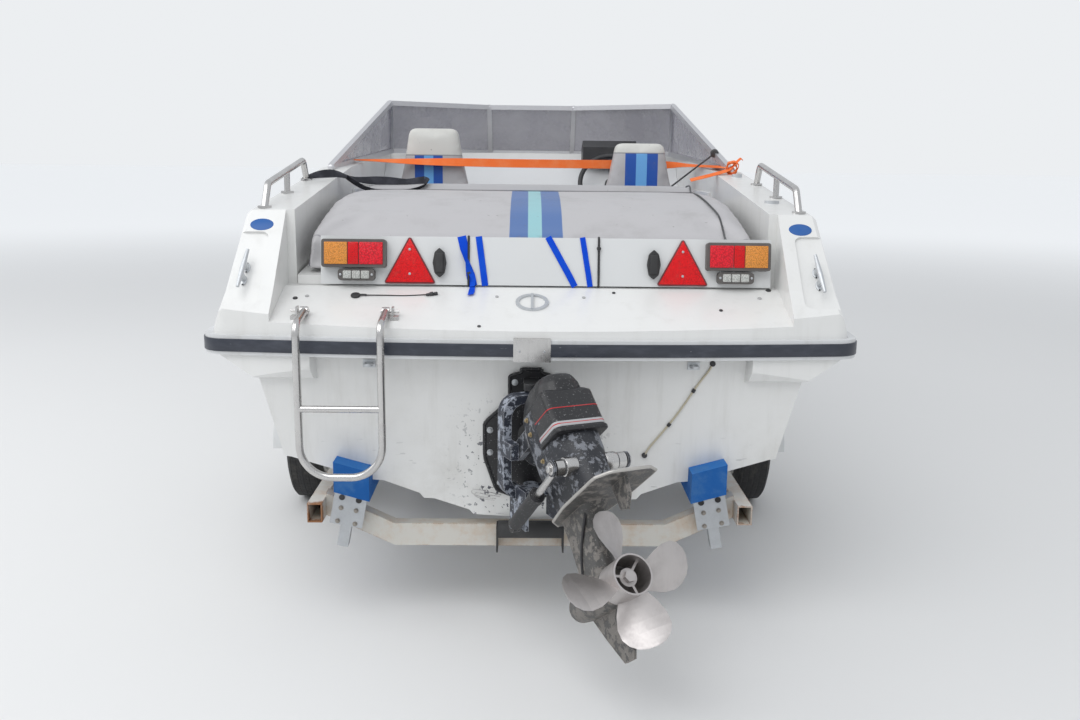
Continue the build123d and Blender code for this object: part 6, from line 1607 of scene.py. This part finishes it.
# A washer and a head: lift off the plate, radius, length, sides, rounding
BOLT_PARTS = [(0.001, 0.0085, 0.0024, 16, 0.0005), (0.0045, 0.0062, 0.0065, 6, 0.0008)]
hole_discs, hole_rings, plate_bolts = [], [], []
for y in CROSS_PLACES:
    for side in (-1, 1):
        place = plate_frame(side, y)
        for x, z in PLATE_HOLES:
            # Painted shade: each hole is a dark disc on the plate's face, standing for the shade inside it.
            hole_discs.append(plate_disc("plate_hole_shades", (x, -0.0004, z), 0.0108, 0.0016, 20, 0.0003, place))
            hole_rings.append(collar("plate_rings", (x, -0.0008, z), (0, 1, 0), 0.0114, 0.0012, place))
        for x, z in PLATE_BOLTS:
            for lift, *turned in BOLT_PARTS:
                plate_bolts.append(plate_disc("plate_bolts", (x, -lift, z), *turned, place))
fit(joined("plate_hole_shades", hole_discs), "boat", painted_hole_shade, None)
fit(joined("plate_rings", hole_rings), "boat", zinc, None)
fit(joined("plate_bolts", plate_bolts), "boat", aged_bolt, None)
print(len(hole_discs), "holes marked on the bracket plates")

# %% Carpet with painted light on its upper faces
# The top colour is painted light for faces that look up; the side colour is the carpet's deep blue.
CARPET_TOP_LIT = (0.025, 0.20, 0.60)
CARPET_SIDE = (0.010, 0.13, 0.45)


def bunk_carpet():
    """Deep blue carpet on the sides, with painted light that makes faces looking up paler and greyer. Worn
    patches and pile vary it too.
    """
    paint = Paint("bunk_carpet", CARPET_SIDE, 0.95)
    # Painted light: faces that look up are made paler and greyer than the sides.
    top = paint.facing("Z").step(0.2, 0.7)
    worn = paint.noise(14, 5, 0.65).step(0.45, 0.72)
    pile = paint.noise(900, 2, 0.5)
    colour = paint.mix(top, CARPET_SIDE, CARPET_TOP_LIT)
    colour = paint.mix(worn * 0.35, colour, (0.13, 0.30, 0.52))
    colour = paint.mix(pile * 0.35, colour, (0.004, 0.05, 0.20))
    return paint.finish(colour, 0.95, pile + paint.noise(200, 3, 0.6) * 0.5, 0.002, 0.9)


wear(["bunk_pads"], bunk_carpet())

# %% Wheel nuts, dust caps and valves
AXLE_PLACE = 1.450
WHEEL_PLACE = 1.020
TYRE_RADIUS = 0.285
NUT_CIRCLE = 0.0555
NUT_COUNT = 4
VALVE_LINE = [(0.000, -0.150), (0.012, -0.146), (0.026, -0.143), (0.036, -0.142)]
TYRE_BLACK = (0.026, 0.026, 0.027)
for side, side_name in ((-1, "port"), (1, "starboard")):
    middle = boat(0, AXLE_PLACE, TYRE_RADIUS)
    pieces = []
    for number in range(NUT_COUNT):
        angle = math.tau * (number + 0.5) / NUT_COUNT
        spoke = Vector((0, math.cos(angle), math.sin(angle)))
        place = middle + spoke * NUT_CIRCLE + Vector((side * (WHEEL_PLACE + 0.025), 0, 0))
        pieces.append(disc("wheel_nuts", place, (side, 0, 0), 0.0105, 0.016, 6, 0.0015))
    cap_place = middle + Vector((side * (WHEEL_PLACE + 0.066), 0, 0))
    pieces.append(disc("wheel_nuts", cap_place, (side, 0, 0), 0.031, 0.012, 32, 0.004))
    fit(joined("wheel_nuts_" + side_name, pieces), "wheel_" + side_name, zinc, None)
    stem = [middle + Vector((side * (WHEEL_PLACE + out), 0, high)) for out, high in VALVE_LINE]
    valve = tube("valve_" + side_name, stem, 0.0042)
    fit(valve, "wheel_" + side_name, black_rubber, None)


def tread_rubber():
    """Grooves run round the tread with short cuts between them, and rings on the side walls."""
    paint = Paint("tread_rubber", TYRE_BLACK, 0.72)
    across = abs(paint.axis("X")) - WHEEL_PLACE
    forward = paint.along_boat() - AXLE_PLACE
    up = paint.axis("Z") - TYRE_RADIUS
    radius = (forward * forward + up * up) ** 0.5
    angle = forward.math("ARCTAN2", forward, up)
    tread = radius.step(0.2705, 0.2745)
    rib = abs(across).math("PINGPONG", abs(across), 0.0125)
    groove = (1 - rib.step(0.0018, 0.0036)) * tread
    cut = (angle * 72).math("SINE", angle * 72).step(0.62, 0.80) * tread * abs(across).step(0.010, 0.012)
    rings = (radius * 520).math("SINE", radius * 520).step(0.55, 0.9)
    wall = rings * (1 - tread) * radius.band(0.205, 0.252, 0.003)
    dust = paint.noise(24, 4, 0.6).step(0.48, 0.75)
    colour = paint.mix(dust * 0.35, TYRE_BLACK, (0.12, 0.11, 0.095))
    return paint.finish(colour, dust * 0.15 + 0.68, wall * 0.3 - groove - cut * 0.8, 0.004)


wear(["tyre_port", "tyre_starboard"], tread_rubber())
print("wheels finished")

# %% [markdown]
# ## Floor finish
# The floor is only a pale studio sheet that keeps the soft shadow. Far from the boat the camera
# sees it as pale as the backdrop, so that no edge shows.

# %% Floor finish
FAR_GLOW = (0.29, 0.30, 0.31, 1)
FADE_FROM_TO = (5, 20)
sheet = Paint("studio_floor", FLOOR_COLOUR[:3], 0.9)
sheet.set("Base Color", sheet.mix(sheet.noise(0.6, 2, 0.4) * 0.1, FLOOR_COLOUR[:3], (0.68, 0.68, 0.68)))
from_middle = (sheet.axis("X") ** 2 + sheet.axis("Y") ** 2) ** 0.5
seen_at_once = sheet.node("LightPath", output="Is Camera Ray")
sheet.set("Emission Color", FAR_GLOW)
sheet.set("Emission Strength", from_middle.step(*FADE_FROM_TO) * seen_at_once)
wear(floor, sheet.material)
